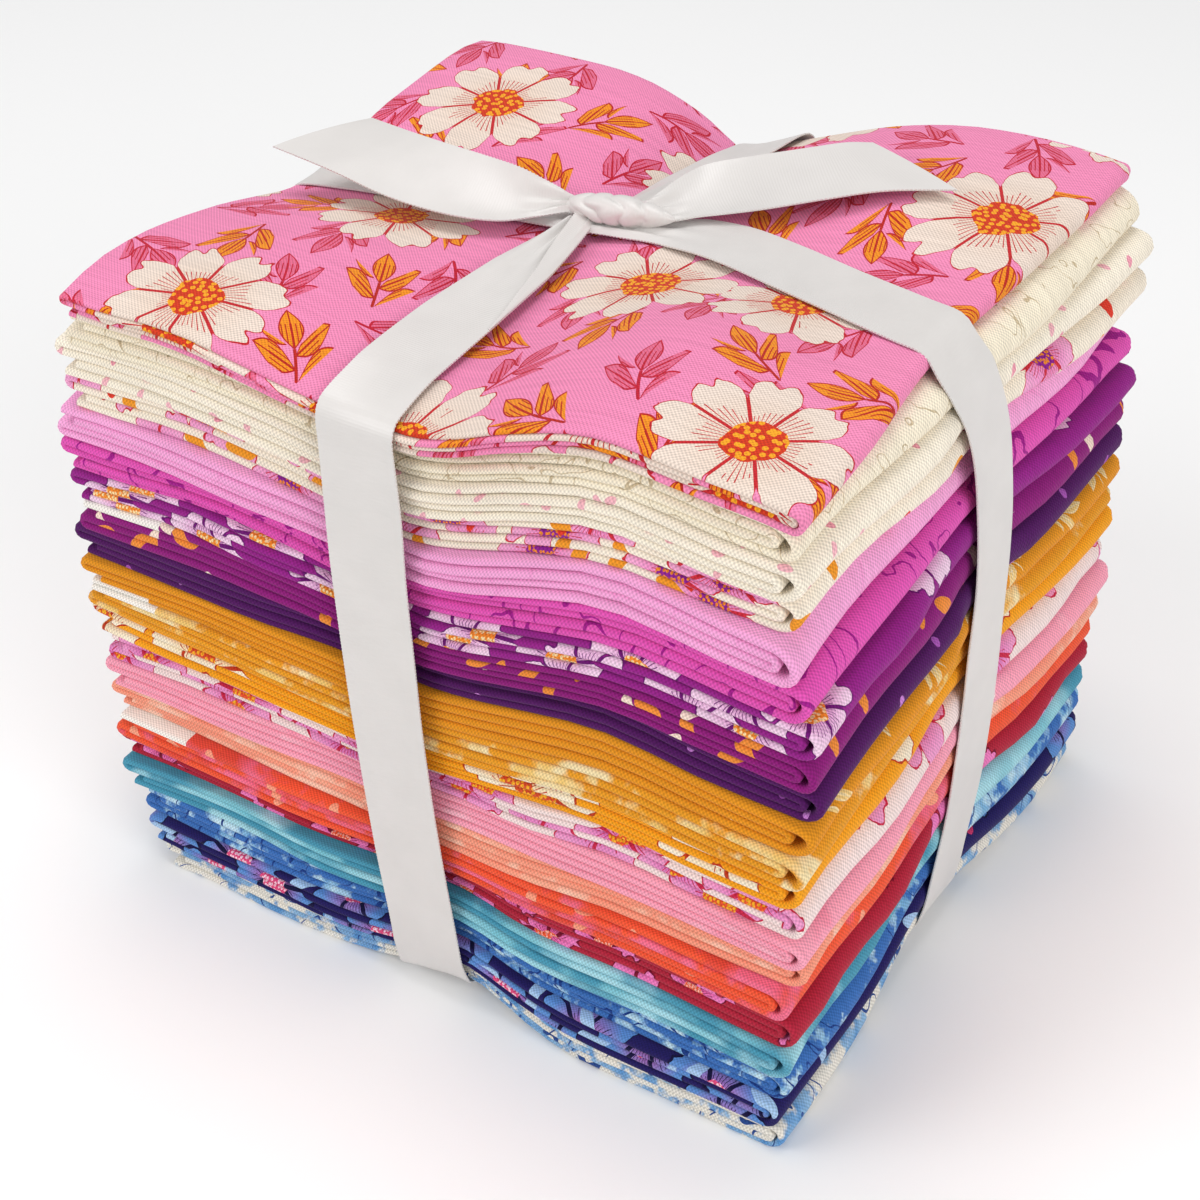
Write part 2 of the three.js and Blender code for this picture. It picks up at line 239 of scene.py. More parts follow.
def sprigGroup():  # short curved stems with leaves on both sides and one at the tip
    lean = math.radians(sprigForm["lean"])
    tree, given, result = newGroup(
        "sprigPrint",
        {"Vector": "Vector", "Cell": "Float", "Leaf": "Float", "Width": "Float", "Pitch": "Float",
         "Line": "Float", "Fill": "Color", "Outline": "Color"},
        {"Cover": "Float", "Color": "Color"})
    local, random = cellOf(tree, given["Vector"], given["Cell"], sprigForm["stray"])
    turn = addNode(tree, maths, (random[0], 2 * math.pi), operation="MULTIPLY")
    local = addNode(tree, "ShaderNodeVectorRotate", {"Vector": local, "Angle": turn},
                    rotation_type="Z_AXIS")
    place = addNode(tree, "ShaderNodeSeparateXYZ", (local,), out=None).outputs
    bend = addNode(tree, rangeMap, {0: random[1], 3: -sprigForm["bend"], 4: sprigForm["bend"]})
    bend = addNode(tree, maths, (bend, given["Cell"]), operation="DIVIDE")
    bow = addNode(tree, maths, (place[0], place[0]), operation="MULTIPLY")
    across = addNode(tree, maths, (bow, bend, place[1]), operation="MULTIPLY_ADD")
    off = addNode(tree, maths, (across,), operation="ABSOLUTE")
    side = addNode(tree, maths, (across,), operation="SIGN")
    back = addNode(tree, maths, (off, -1 / math.tan(lean), place[0]), operation="MULTIPLY_ADD")
    step = addNode(tree, maths, (back, given["Pitch"]), operation="DIVIDE")
    step = addNode(tree, maths, (side, 0.25, step), operation="MULTIPLY_ADD")  # leaves alternate
    beside = addNode(tree, maths, (step,), operation="FRACT")
    beside = addNode(tree, maths, (beside, 0.5), operation="SUBTRACT")
    beside = addNode(tree, maths, (beside, given["Pitch"]), operation="MULTIPLY")
    beside = addNode(tree, maths, (beside, math.sin(lean)), operation="MULTIPLY")
    beside = addNode(tree, maths, (beside,), operation="ABSOLUTE")
    along = addNode(tree, maths, (off, given["Leaf"]), operation="DIVIDE")
    along = addNode(tree, maths, (along, 1 / math.sin(lean)), operation="MULTIPLY")
    bulge = addNode(tree, maths, (along, math.pi), operation="MULTIPLY")
    bulge = addNode(tree, maths, (bulge,), operation="SINE")
    bulge = addNode(tree, maths, (bulge, given["Width"]), operation="MULTIPLY")
    inLeaf = addNode(tree, maths, (along, 1.0), operation="LESS_THAN")
    half = addNode(tree, maths, (given["Cell"], sprigForm["stem"]), operation="MULTIPLY")
    farAlong = addNode(tree, maths, (back, half), operation="ADD")
    farAlong = addNode(tree, maths, (farAlong,), operation="ABSOLUTE")
    onStem = addNode(tree, maths, (farAlong, half), operation="LESS_THAN")
    inLeaf = addNode(tree, maths, (inLeaf, onStem), operation="MULTIPLY")
    tipAlong = addNode(tree, maths, (place[0], given["Leaf"]), operation="DIVIDE")
    onTip = addNode(tree, maths, (tipAlong, 0.5, 0.5), operation="COMPARE")
    tipBulge = addNode(tree, maths, (tipAlong, math.pi), operation="MULTIPLY")
    tipBulge = addNode(tree, maths, (tipBulge,), operation="SINE")
    tipBulge = addNode(tree, maths, (tipBulge, given["Width"]), operation="MULTIPLY")
    tipInside = addNode(tree, maths, (tipBulge, off), operation="SUBTRACT")
    tipLeaf = addNode(tree, maths, (tipInside, 0.0), operation="GREATER_THAN")
    tipLeaf = addNode(tree, maths, (tipLeaf, onTip), operation="MULTIPLY")
    inside = addNode(tree, maths, (bulge, beside), operation="SUBTRACT")
    leaf = addNode(tree, maths, (inside, 0.0), operation="GREATER_THAN")
    leaf = addNode(tree, maths, (leaf, inLeaf), operation="MULTIPLY")
    inside = addNode(tree, mixer, {0: tipLeaf, 2: inside, 3: tipInside})
    beside = addNode(tree, mixer, {0: tipLeaf, 2: beside, 3: off})
    along = addNode(tree, mixer, {0: tipLeaf, 2: along, 3: tipAlong})
    leaf = addNode(tree, maths, (leaf, tipLeaf), operation="MAXIMUM")
    rim = addNode(tree, maths, (inside, given["Line"]), operation="LESS_THAN")
    rib = addNode(tree, maths, (beside, sprigForm["rib"]), operation="LESS_THAN")
    strokes = addNode(tree, maths, (beside, sprigForm["strokePitch"]), operation="MODULO")
    strokes = addNode(tree, maths, (strokes, sprigForm["stroke"]), operation="LESS_THAN")
    strokeEnd = addNode(tree, maths, (along, sprigForm["strokeEnd"]), operation="LESS_THAN")
    strokes = addNode(tree, maths, (strokes, strokeEnd), operation="MULTIPLY")
    stem = addNode(tree, maths, (off, given["Line"]), operation="LESS_THAN")
    stem = addNode(tree, maths, (stem, onStem), operation="MULTIPLY")
    ink = addNode(tree, maths, (rim, rib), operation="MAXIMUM")
    ink = addNode(tree, maths, (ink, strokes), operation="MAXIMUM")
    ink = addNode(tree, maths, (ink, stem), operation="MAXIMUM")
    color = addNode(tree, mixer, {0: ink, 6: given["Fill"], 7: given["Outline"]}, **onColors)
    tree.links.new(color, result["Color"])
    tree.links.new(addNode(tree, maths, (leaf, stem), operation="MAXIMUM"), result["Cover"])
    return tree


looseForm = {
    "speckStray": 0.9,  # off the grid, as a share of a cell
    "patchRoughness": 0.62, "patchEdge": (-0.03, 0.05), "secondInk": (0.4, 0.6), "secondScale": 2.3,
    "lines": 9.0, "lineWander": 0.6,
}


def speckGroup():  # scattered short dashes and dots in two inks
    tree, given, result = newGroup(
        "speckPrint",
        {"Vector": "Vector", "Cell": "Float", "Length": "Float", "Width": "Float",
         "Fill": "Color", "Second": "Color"},
        {"Cover": "Float", "Color": "Color"})
    local, random = cellOf(tree, given["Vector"], given["Cell"], looseForm["speckStray"])
    turn = addNode(tree, maths, (random[0], 2 * math.pi), operation="MULTIPLY")
    local = addNode(tree, "ShaderNodeVectorRotate", {"Vector": local, "Angle": turn},
                    rotation_type="Z_AXIS")
    place = addNode(tree, "ShaderNodeSeparateXYZ", (local,), out=None).outputs
    across = addNode(tree, maths, (place[0], given["Length"]), operation="DIVIDE")
    up = addNode(tree, maths, (place[1], given["Width"]), operation="DIVIDE")
    across = addNode(tree, maths, (across, across), operation="MULTIPLY")
    reach = addNode(tree, maths, (up, up, across), operation="MULTIPLY_ADD")
    tree.links.new(addNode(tree, maths, (reach, 0.25), operation="LESS_THAN"), result["Cover"])
    second = addNode(tree, maths, (random[1], 0.5), operation="GREATER_THAN")
    color = addNode(tree, mixer, {0: second, 6: given["Fill"], 7: given["Second"]}, **onColors)
    tree.links.new(color, result["Color"])
    return tree


def blotchGroup():  # watery patches
    tree, given, result = newGroup(
        "blotchPrint",
        {"Vector": "Vector", "Cell": "Float", "Share": "Float", "Fill": "Color", "Second": "Color"},
        {"Cover": "Float", "Color": "Color"})
    scaled = addNode(tree, vectorMaths, (given["Vector"], given["Cell"]), operation="DIVIDE")
    cloud = addNode(tree, noiseMap, {
        "Vector": scaled, "Scale": 1.0, "Detail": 4.0, "Roughness": looseForm["patchRoughness"]})
    edge = addNode(tree, maths, (1.0, given["Share"]), operation="SUBTRACT")
    cover = addNode(tree, maths, (cloud, edge), operation="SUBTRACT")
    low, high = looseForm["patchEdge"]
    cover = addNode(tree, rangeMap, {0: cover, 1: low, 2: high}, interpolation_type="SMOOTHSTEP")
    tree.links.new(cover, result["Cover"])
    other = addNode(tree, noiseMap, {"Vector": scaled, "Scale": looseForm["secondScale"], "Detail": 2.0})
    low, high = looseForm["secondInk"]
    other = addNode(tree, rangeMap, {0: other, 1: low, 2: high})
    color = addNode(tree, mixer, {0: other, 6: given["Fill"], 7: given["Second"]}, **onColors)
    tree.links.new(color, result["Color"])
    return tree


def lineGroup():  # loose drawn lines that wander and close on themselves
    tree, given, result = newGroup(
        "linePrint",
        {"Vector": "Vector", "Cell": "Float", "Weight": "Float", "Fill": "Color"},
        {"Cover": "Float", "Color": "Color"})
    scaled = addNode(tree, vectorMaths, (given["Vector"], given["Cell"]), operation="DIVIDE")
    cloud = addNode(tree, noiseMap, {
        "Vector": scaled, "Scale": 1.0, "Detail": 3.0, "Distortion": looseForm["lineWander"]})
    steps = addNode(tree, maths, (cloud, looseForm["lines"]), operation="MULTIPLY")
    steps = addNode(tree, maths, (steps,), operation="FRACT")
    steps = addNode(tree, maths, (steps, 0.5), operation="SUBTRACT")
    steps = addNode(tree, maths, (steps,), operation="ABSOLUTE")
    tree.links.new(addNode(tree, maths, (steps, given["Weight"]), operation="LESS_THAN"), result["Cover"])
    tree.links.new(given["Fill"], result["Color"])
    return tree


printGroups = {
    "blossom": blossomGroup(), "sprig": sprigGroup(), "speck": speckGroup(),
    "blotch": blotchGroup(), "line": lineGroup(),
}
weaveTree = weaveGroup()
print("prints drawn:", len(printGroups), "kinds")

# The quarters, top to bottom: a ground and layers of ink (print, sizes in millimetres, place of the repeat).
# Each is a plain print of this script's own in the quarter's colours. thick is its share of the height, and
# turned puts the raw ends below. loose and setBack shape the right-hand fold. leftIn, flare and backOut move
# the left end, the front of the right fold and its back, in millimetres. selvage is a bare edge's width.
quarterRows = {
    "pink_flowers": {
        "turned": True, "thick": 0.62, "loose": 1.0, "setBack": 1.2, "leftIn": 3.0, "flare": -1.6,
        "backOut": 0, "ground": "#ef8cb6", "layers": [
            ("sprig", {"Cell": 24, "Leaf": 9.8, "Width": 2.0, "Pitch": 6.0, "Line": 0.28,
                       "Fill": "#e26a8c", "Outline": "#c01f35"}, 23.0),
            ("sprig", {"Cell": 24, "Leaf": 9.8, "Width": 2.0, "Pitch": 6.0, "Line": 0.26,
                       "Fill": "#ee8f22", "Outline": "#b9281f"}, 11),
            ("blossom", {"Cell": 46, "Radius": 18.5, "Petals": 8, "Line": 0.3, "Petal": "#e9d7ca",
                         "Throat": "#e2c8b4", "Outline": "#c42a30", "Eye": "#cf3a1e",
                         "Dots": "#f2a326"}, 5)]},
    "cream_sketch": {
        "turned": False, "thick": 1.05, "loose": 1.5, "setBack": 3.0, "leftIn": 2.0, "flare": 2.6,
        "backOut": 0, "ground": "#f4e9d2", "layers": [
            ("line", {"Cell": 22, "Weight": 0.024, "Fill": "#cbb999"}, 3)]},
    "cream_speck": {
        "turned": True, "thick": 1.1, "loose": 1.45, "setBack": 3.0, "leftIn": 0, "flare": 2.8,
        "backOut": 2.6, "ground": "#f7eddb", "layers": [
            ("speck", {"Cell": 8, "Length": 2.0, "Width": 1.2, "Fill": "#f2b6c0",
                       "Second": "#ee9fb0"}, 9)]},
    "cream_petals": {
        "turned": True, "thick": 1.05, "loose": 1.2, "setBack": 2.5, "leftIn": -1, "flare": 2.8,
        "backOut": 3.2, "ground": "#f6ead8", "layers": [
            ("blossom", {"Cell": 26, "Radius": 9, "Petals": 6, "Line": 0.3, "Petal": "#f1a6cf",
                         "Throat": "#e26ab4", "Outline": "#cc2c3c", "Eye": "#8c2090",
                         "Dots": "#ef8a2c"}, 4),
            ("speck", {"Cell": 12, "Length": 6, "Width": 2.6, "Fill": "#e2402e",
                       "Second": "#f09a2a"}, 8)]},
    "light_pink": {
        "turned": False, "thick": 1.1, "loose": 1.25, "setBack": 2.8, "ground": "#f5a8d8", "layers": [
            ("line", {"Cell": 60, "Weight": 0.02, "Fill": "#f19fd2"}, 21)]},
    "orchid_lines": {
        "turned": True, "thick": 1.05, "loose": 1.1, "setBack": 2.2, "ground": "#e256b4", "layers": [
            ("line", {"Cell": 24, "Weight": 0.05, "Fill": "#a01c8a"}, 13)]},
    "purple_flowers": {
        "turned": True, "thick": 1.0, "loose": 1.15, "setBack": 2.4, "ground": "#962388", "layers": [
            ("blossom", {"Cell": 24, "Radius": 9.5, "Petals": 6, "Line": 0.3, "Petal": "#f0cfe6",
                         "Throat": "#d77cc4", "Outline": "#6c1470", "Eye": "#ef8a2c",
                         "Dots": "#f7d9a0"}, 5.96)]},
    "plum_spots": {
        "turned": False, "thick": 1.0, "loose": 1.15, "setBack": 2.2, "backOut": 1, "selvage": 17,
        "ground": "#8e1c78", "layers": [
            ("speck", {"Cell": 10, "Length": 5.5, "Width": 2.2, "Fill": "#ef8f3c",
                       "Second": "#f3dccb"}, 2)]},
    "dark_purple_dots": {
        "turned": True, "thick": 1.0, "loose": 1.2, "setBack": 2.6, "backOut": 0, "ground": "#52165e",
        "layers": [
            ("speck", {"Cell": 10, "Length": 1.5, "Width": 1.5, "Fill": "#c77fd0",
                       "Second": "#a857b4"}, 31)]},
    "mustard_dashes": {
        "turned": True, "thick": 1.05, "loose": 1.4, "setBack": 3.6, "backOut": 0.5, "selvage": 13,
        "ground": "#e39320", "layers": [
            ("sprig", {"Cell": 17, "Leaf": 6, "Width": 1.0, "Pitch": 4.4, "Line": 0.25, "Fill": "#efc880",
                       "Outline": "#f3d9a4"}, 14)]},
    "mustard_blotch": {
        "turned": False, "thick": 1.0, "loose": 1.35, "setBack": 3.2, "backOut": 1, "selvage": 15,
        "ground": "#e79c26", "layers": [
            ("blotch", {"Cell": 14, "Share": 0.47, "Fill": "#f3dfae", "Second": "#eec775"}, 17)]},
    "golden_flowers": {
        "turned": True, "thick": 1.0, "loose": 1.25, "setBack": 2.6, "ground": "#f5a31e", "layers": [
            ("blossom", {"Cell": 32, "Radius": 13, "Petals": 6, "Line": 0.35, "Petal": "#f6ead2",
                         "Throat": "#f1cf92", "Outline": "#c03a1c", "Eye": "#d8502a",
                         "Dots": "#f3b02c"}, 18)]},
    "orchid_flowers": {
        "turned": False, "thick": 0.95, "loose": 1.05, "setBack": 2.0, "ground": "#f4dfdc", "layers": [
            ("blossom", {"Cell": 25, "Radius": 10, "Petals": 5, "Line": 0.35, "Petal": "#ee9ccb",
                         "Throat": "#d34fae", "Outline": "#c9284a", "Eye": "#e8552c",
                         "Dots": "#f3b02c"}, 21.946)]},
    "rose_pink": {
        "turned": True, "thick": 1.0, "loose": 1.1, "setBack": 2.2, "ground": "#f9a3b9", "layers": [
            ("blotch", {"Cell": 30, "Share": 0.42, "Fill": "#fab8c8", "Second": "#f593ab"}, 25)]},
    "peach_blotch": {
        "turned": True, "thick": 1.0, "loose": 1.2, "setBack": 2.4, "ground": "#f89f84", "layers": [
            ("blotch", {"Cell": 16, "Share": 0.47, "Fill": "#fac9b2", "Second": "#f8b094"}, 27)]},
    "coral": {
        "turned": False, "thick": 1.05, "loose": 1.05, "setBack": 2.0, "selvage": 16, "ground": "#f25b3a",
        "layers": [
            ("blotch", {"Cell": 18, "Share": 0.47, "Fill": "#f0708e", "Second": "#e2503f"}, 29),
            ("speck", {"Cell": 14, "Length": 5, "Width": 2.2, "Fill": "#f7a284",
                       "Second": "#c9352c"}, 30)]},
    "crimson_spots": {
        "turned": True, "thick": 1.0, "loose": 1.1, "setBack": 2.2, "ground": "#b2263e", "layers": [
            ("blossom", {"Cell": 20, "Radius": 7.5, "Petals": 6, "Line": 0.35, "Petal": "#ee7fc0",
                         "Throat": "#d7408c", "Outline": "#7c1030", "Eye": "#e8552c",
                         "Dots": "#f7b0a0"}, 33)]},
    "aqua": {
        "turned": True, "thick": 1.1, "loose": 1.2, "setBack": 2.6, "leftIn": -0.6, "ground": "#4b99b4",
        "layers": [
            ("blotch", {"Cell": 46, "Share": 0.5, "Fill": "#a9dbe6", "Second": "#7cc3d2"}, 35)]},
    "blue_patches": {
        "turned": False, "thick": 1.05, "loose": 1.1, "setBack": 2.0, "leftIn": -0.6, "ground": "#3f72ba",
        "layers": [
            ("blotch", {"Cell": 8, "Share": 0.47, "Fill": "#c6e3ef", "Second": "#7fb4dc"}, 37),
            ("line", {"Cell": 26, "Weight": 0.035, "Fill": "#1f3f86"}, 38)]},
    "navy_flowers": {
        "turned": True, "thick": 0.95, "loose": 1.05, "setBack": 1.8, "leftIn": 1.2, "ground": "#241c5c",
        "layers": [
            ("blossom", {"Cell": 27, "Radius": 11, "Petals": 6, "Line": 0.4, "Petal": "#5f8fd0",
                         "Throat": "#c23a9c", "Outline": "#15103c", "Eye": "#e04a7c",
                         "Dots": "#f3c6d8"}, 38.951),
            ("speck", {"Cell": 17, "Length": 7, "Width": 2.4, "Fill": "#d23a6c",
                       "Second": "#a8c8ea"}, 40)]},
    "cream_blue": {
        "turned": True, "thick": 0.95, "loose": 1.05, "setBack": 1.8, "leftIn": 2.6, "ground": "#ece7dc",
        "layers": [
            ("blotch", {"Cell": 9, "Share": 0.5, "Fill": "#5f97cf", "Second": "#8fb8dd"}, 42),
            ("line", {"Cell": 28, "Weight": 0.03, "Fill": "#2f4f92"}, 43)]},
}

cotton = {
    "repeatStep": (0.173, 0.291),  # a layer's repeat is moved by this for each step of its place, metres
    "selvage": "#f5f0e8", "reverse": "#f6efe6",
    "fade": 0.62,  # the ink shows through to the wrong side
    "threadShade": (0.68, 1.16),  # painted shade and highlight: colour scale from the pinholes to the tops of the threads
    "bump": 0.55, "threadHeight": 0.12 * mm,
    "roughness": 0.88, "shine": 0.15, "sheen": 0.07, "sheenRoughness": 0.45,
}


def printedCotton(name, row):  # quilting cotton: dry and matt, a soft bloom edge-on, thread lumps close up with painted shade between them
    material, tree = newMaterial("printedCotton_" + name)
    flat = addNode(tree, "ShaderNodeUVMap", uv_map="cut")
    color = hexColor(row["ground"])
    for kind, inks, shift in row["layers"]:
        move = (shift * cotton["repeatStep"][0], shift * cotton["repeatStep"][1], 0)
        place = addNode(tree, vectorMaths, (flat, move), operation="ADD")
        ink = addNode(tree, "ShaderNodeGroup", out=None, node_tree=printGroups[kind])
        tree.links.new(place, ink.inputs["Vector"])
        for key, value in inks.items():
            unit = 1 if key in ("Petals", "Share", "Weight") else mm
            ink.inputs[key].default_value = hexColor(value) if isinstance(value, str) else value * unit
        color = addNode(tree, mixer, {0: ink.outputs["Cover"], 6: color, 7: ink.outputs["Color"]}, **onColors)
    if "selvage" in row:  # unprinted woven edge, on the end of the cut that shows at the left
        along = addNode(tree, "ShaderNodeSeparateXYZ", (flat,))
        bare = addNode(tree, maths, (along, row["selvage"] * mm), operation="LESS_THAN")
        color = addNode(tree, mixer, {0: bare, 6: color, 7: hexColor(cotton["selvage"])}, **onColors)
    reverse = addNode(tree, "ShaderNodeAttribute", out="Fac", attribute_name="reverse")
    faded = addNode(tree, maths, (reverse, cotton["fade"]), operation="MULTIPLY")
    color = addNode(tree, mixer, {0: faded, 6: color, 7: hexColor(cotton["reverse"])}, **onColors)
    threads = addNode(tree, "ShaderNodeGroup", {"Vector": flat}, node_tree=weaveTree)
    # painted shade and highlight: the weave's height darkens the colour in the pinholes and lightens it on
    # the thread tops
    low, high = cotton["threadShade"]
    shade = addNode(tree, rangeMap, {0: threads, 1: 0.0, 2: 1.0, 3: low, 4: high})
    color = addNode(tree, vectorMaths, {0: color, "Scale": shade}, operation="SCALE")
    bump = addNode(tree, "ShaderNodeBump", {
        "Height": threads, "Strength": cotton["bump"], "Distance": cotton["threadHeight"]})
    cloth = addNode(tree, "ShaderNodeBsdfPrincipled", {
        "Base Color": color, "Roughness": cotton["roughness"], "Normal": bump,
        "Specular IOR Level": cotton["shine"], "Sheen Weight": cotton["sheen"],
        "Sheen Roughness": cotton["sheenRoughness"]})
    addNode(tree, "ShaderNodeOutputMaterial", {"Surface": cloth}, out=None)
    return material


# The stack as the ribbon holds it, in millimetres

stack = {
    "thick": 129.75,  # before it is tied
    # height of the top along its four edges, as place and height
    "front": [
        (-72, 124.4), (-59, 124.9), (-48, 125.7), (-38, 125.4), (-28, 123.8), (-18, 121.4), (-12, 120.1),
        (2, 119.9), (10, 122.9), (19, 127.4), (30, 131.2), (37, 132.5), (45, 131.8), (53, 130.4), (72, 129)],
    "back": [
        (-72, 125), (-64, 126.9), (-54, 127.4), (-45, 127.2), (-36, 126.7), (-27, 125.4), (-18, 122.7),
        (-13, 120), (-9, 116.6), (-4, 116.5), (4, 120.7), (10, 122.9), (24, 127.9), (32, 130.2), (39, 131.7),
        (47, 132.4), (54, 132.4), (62, 131.7), (72, 130)],
    "left": [
        (-62, 124.6), (-57, 126.2), (-51, 127.5), (-41, 127.4), (-31, 126.3), (-21, 124.8), (-10, 122),
        (-3, 120), (7, 119.4), (14, 120.6), (25, 124.2), (38, 125.9), (46, 127), (54, 127.2), (62, 125.4)],
    "right": [
        (-62, 129), (-47, 131), (-30, 131.5), (-16, 131.2), (-2, 130.8), (27, 130.8), (44, 130.6), (56, 131),
        (62, 130)],
    "sample": 0.5, "smoothing": 11,  # an edge is sampled at this step and smoothed over so many each way
    "knotAt": (-4.0, 7.0), "underKnot": 6.0, "knotReach": (15.0, 20.0),  # a swelling below the knot
    # the ribbon's groove across the right lobe: its line, where it starts and how long it is
    "grooveLine": [(-70, 6.4), (10, 9.0), (20, 7.2), (33, 2.0), (53, -6.0), (62, -9.4), (70, -11.8)],
    "grooveRight": 3.2, "grooveStart": 8, "grooveLength": 60, "grooveReach": (30, 26),
    "flat": 7.0,  # half the flat floor of a groove, where the ribbon lies
    "ripple": 0.16, "ripples": [(8.3, 13, 0.6), (15, -9.1, 2.0), (27, 31, 0)],  # along, across, phase
    # lift of the underside over the ribbon, along the front and along the right
    "under": [
        (-72, 0), (-25, 0), (-15, 1.1), (-10, 2.8), (-2, 4.6), (3, 5.6), (6, 5.2), (9, 4.2), (13, 2.2),
        (20, 0.6), (30, 0), (72, 0)],
    "underSide": [
        (-62, 0), (-34, 0), (-25, 1.2), (-17, 3.6), (-7, 5.2), (7, 4.0), (24, 0.8), (36, 0), (62, 0)],
    # middle of the ribbon on the front face, which leans to the right on its way down, and on the right face
    "acrossLine": [(0, -1.4), (10, -2.1), (30, -4.3), (45, -5.5), (62, -6.5), (94, -7.3), (121, -7.2)],
    "alongLine": [
        (0, 0.6), (8, 0.6), (16, 2.4), (28, 6), (37, 6.5), (47, 6.7), (56, 6.8), (66, 6.2), (82, 6.2),
        (91, 5.2), (105, 2), (111, -0.3), (117, -3.4), (124, -7.8), (130, -11.8)],
    "waist": 1.3, "waistReach": 24.0, "waistFrom": 0.35, "waistSide": 0.6,  # drawn in, less at the two ends
    "pressed": 2.6, "pressShare": 0.65, "pressReach": 9,  # folds pressed level under the ribbon
    "sway": (0.5, 0.35),  # layers wander up and down inside the stack
}
halfLength = max(-cadLow.x, cadHigh.x) / mm
halfWidth = max(-cadLow.y, cadHigh.y) / mm


def blendTo(value, low, high):  # smooth 0 to 1 between low and high
    t = np.clip((value - low) / (high - low), 0, 1)
    return t * t * (3 - 2 * t)


def bell(distance, before, after):  # 1 on the flat of a groove, 0 where the lobe is reached
    reach = np.where(distance < 0, before, after)
    t = np.clip((np.abs(distance) - stack["flat"]) / reach, 0, 1)
    return 0.5 + 0.5 * np.cos(np.pi * t)


def lineAt(key, place):  # straight between a line's measured points
    return np.interp(place, *np.array(stack[key]).T)


def edgeLine(key):  # an edge's heights, drawn smooth through its measured points
    step, reach = stack["sample"], stack["smoothing"]
    places = np.arange(-90, 90 + step, step)
    kernel = np.hanning(2 * reach + 1) / np.hanning(2 * reach + 1).sum()
    heights = np.convolve(np.pad(lineAt(key, places), reach, "edge"), kernel, "valid")
    return lambda t: np.interp(t, places, heights)


edgeLines = {key: edgeLine(key) for key in ("front", "back", "left", "right", "under", "underSide")}


def topHeight(x, y):
    u = (x + halfLength) / (2 * halfLength)
    v = (y + halfWidth) / (2 * halfWidth)
    front, back, left, right = (edgeLines[key] for key in ("front", "back", "left", "right"))
    corners = [line(end * halfLength) for line in (front, back) for end in (-1, 1)]
    level = (1 - v) * front(x) + v * back(x) + (1 - u) * left(y) + u * right(y)
    level = level - (1 - v) * ((1 - u) * corners[0] + u * corners[1])
    level = level - v * ((1 - u) * corners[2] + u * corners[3])
    away = ((x - stack["knotAt"][0]) / stack["knotReach"][0]) ** 2 / 2
    beside = ((y - stack["knotAt"][1]) / stack["knotReach"][1]) ** 2 / 2
    level = level + stack["underKnot"] * np.exp(-away - beside)
    deep = np.sin(np.pi * np.clip((x - stack["grooveStart"]) / stack["grooveLength"], 0, 1))
    groove = deep * bell(y - lineAt("grooveLine", x), *stack["grooveReach"])
    ripple = sum(np.sin(x / along + y / across + phase) for along, across, phase in stack["ripples"])
    return level - stack["grooveRight"] * groove + stack["ripple"] * ripple


def bottomHeight(x, y):  # the two lifts join softly where the ribbon's runs cross
    return (edgeLines["under"](x) ** 3 + edgeLines["underSide"](y) ** 3) ** (1 / 3)


def tied(x, y, z):  # a point of the loose stack, drawn in by the ribbon
    slow, quick = stack["sway"]
    sway = slow * np.sin(z / 5.3 + x / 31 + y / 47) + quick * np.sin(z / 3.9 - x / 23 + 1.7)
    share = z / stack["thick"]
    settled = share + sway * share * (1 - share) * 4 / stack["thick"]
    height = settled * topHeight(x, y) + bottomHeight(x, y) * (1 - settled) ** 4  # the lift fades upwards
    reach = stack["waistReach"]
    start = stack["waistFrom"]
    across = x - lineAt("acrossLine", z)
    along = y - lineAt("alongLine", z)
    inward = stack["waist"] * bell(across, reach, reach)
    inward = inward * blendTo(np.abs(y), start * halfWidth, halfWidth)
    sideways = stack["waistSide"] * stack["waist"] * bell(along, reach, reach)
    sideways = sideways * blendTo(np.abs(x), start * halfLength, halfLength)
    proud = np.maximum(np.abs(x) - halfLength + stack["pressed"], 0)
    sideways = sideways + stack["pressShare"] * proud * bell(along, stack["pressReach"], stack["pressReach"])
    return x - np.sign(x) * sideways, y - np.sign(y) * inward, height


# Folding. A strip folded in half twice is one path: raw end, outer fold, side fold, inner fold, raw end

folding = {
    "cut": (0.56, 0.50),  # a fat quarter before folding, metres
    "cloth": 0.25,  # quilting cotton, millimetres
    "pack": 0.37, "innerPly": 0.12,  # plies of a strip, as a share of its height from its middle
    "rawLong": (1.5, 4.0), "rawWide": (2.0, 3.5),  # raw ends lie in by this, outer ply and inner ply
    "innerBack": 0.5,  # the width's inner fold lies in by this
    "droop": 0.25,  # the right-hand roll sags by this share of a strip
    "bunched": 0.05,  # points stand closer together near the ribbon
    "edgeWave": 0.5, "layerShift": 0.3, "sideWave": 0.7,  # unevenness of the edges
    "waves": (4, 28.0, 170.0), "layerWaves": (3, 180.0, 420.0),  # how many, shortest, longest
    "leftIn": -2.8, "flare": 0, "backOut": 1.8,  # where a quarter's row doesn't say
    "flareFrom": (-0.95, -0.6), "backFrom": (-0.4, -0.1),  # along the right face, -1 at the front
    "steps": (20, 17), "turns": 4,  # points along each run and round each half turn
    "topSteps": (36, 28), "topTurns": 6,  # finer on the uppermost quarter
    "firstSeed": 100,
}


def arc(center, radiusAlong, radiusUp, start, stop, count, skew=0.0):
    turn = np.radians(np.linspace(start, stop, count))
    along = center[0] + radiusAlong * np.cos(turn)
    up = center[1] + radiusUp * np.sin(turn) - skew * np.cos(turn)
    normal = np.stack([radiusUp * np.cos(turn), radiusAlong * np.sin(turn)], 1)
    normal = normal / np.linalg.norm(normal, axis=1)[:, None]
    return np.concatenate([np.stack([along, up], 1), normal if stop < start else -normal], 1)


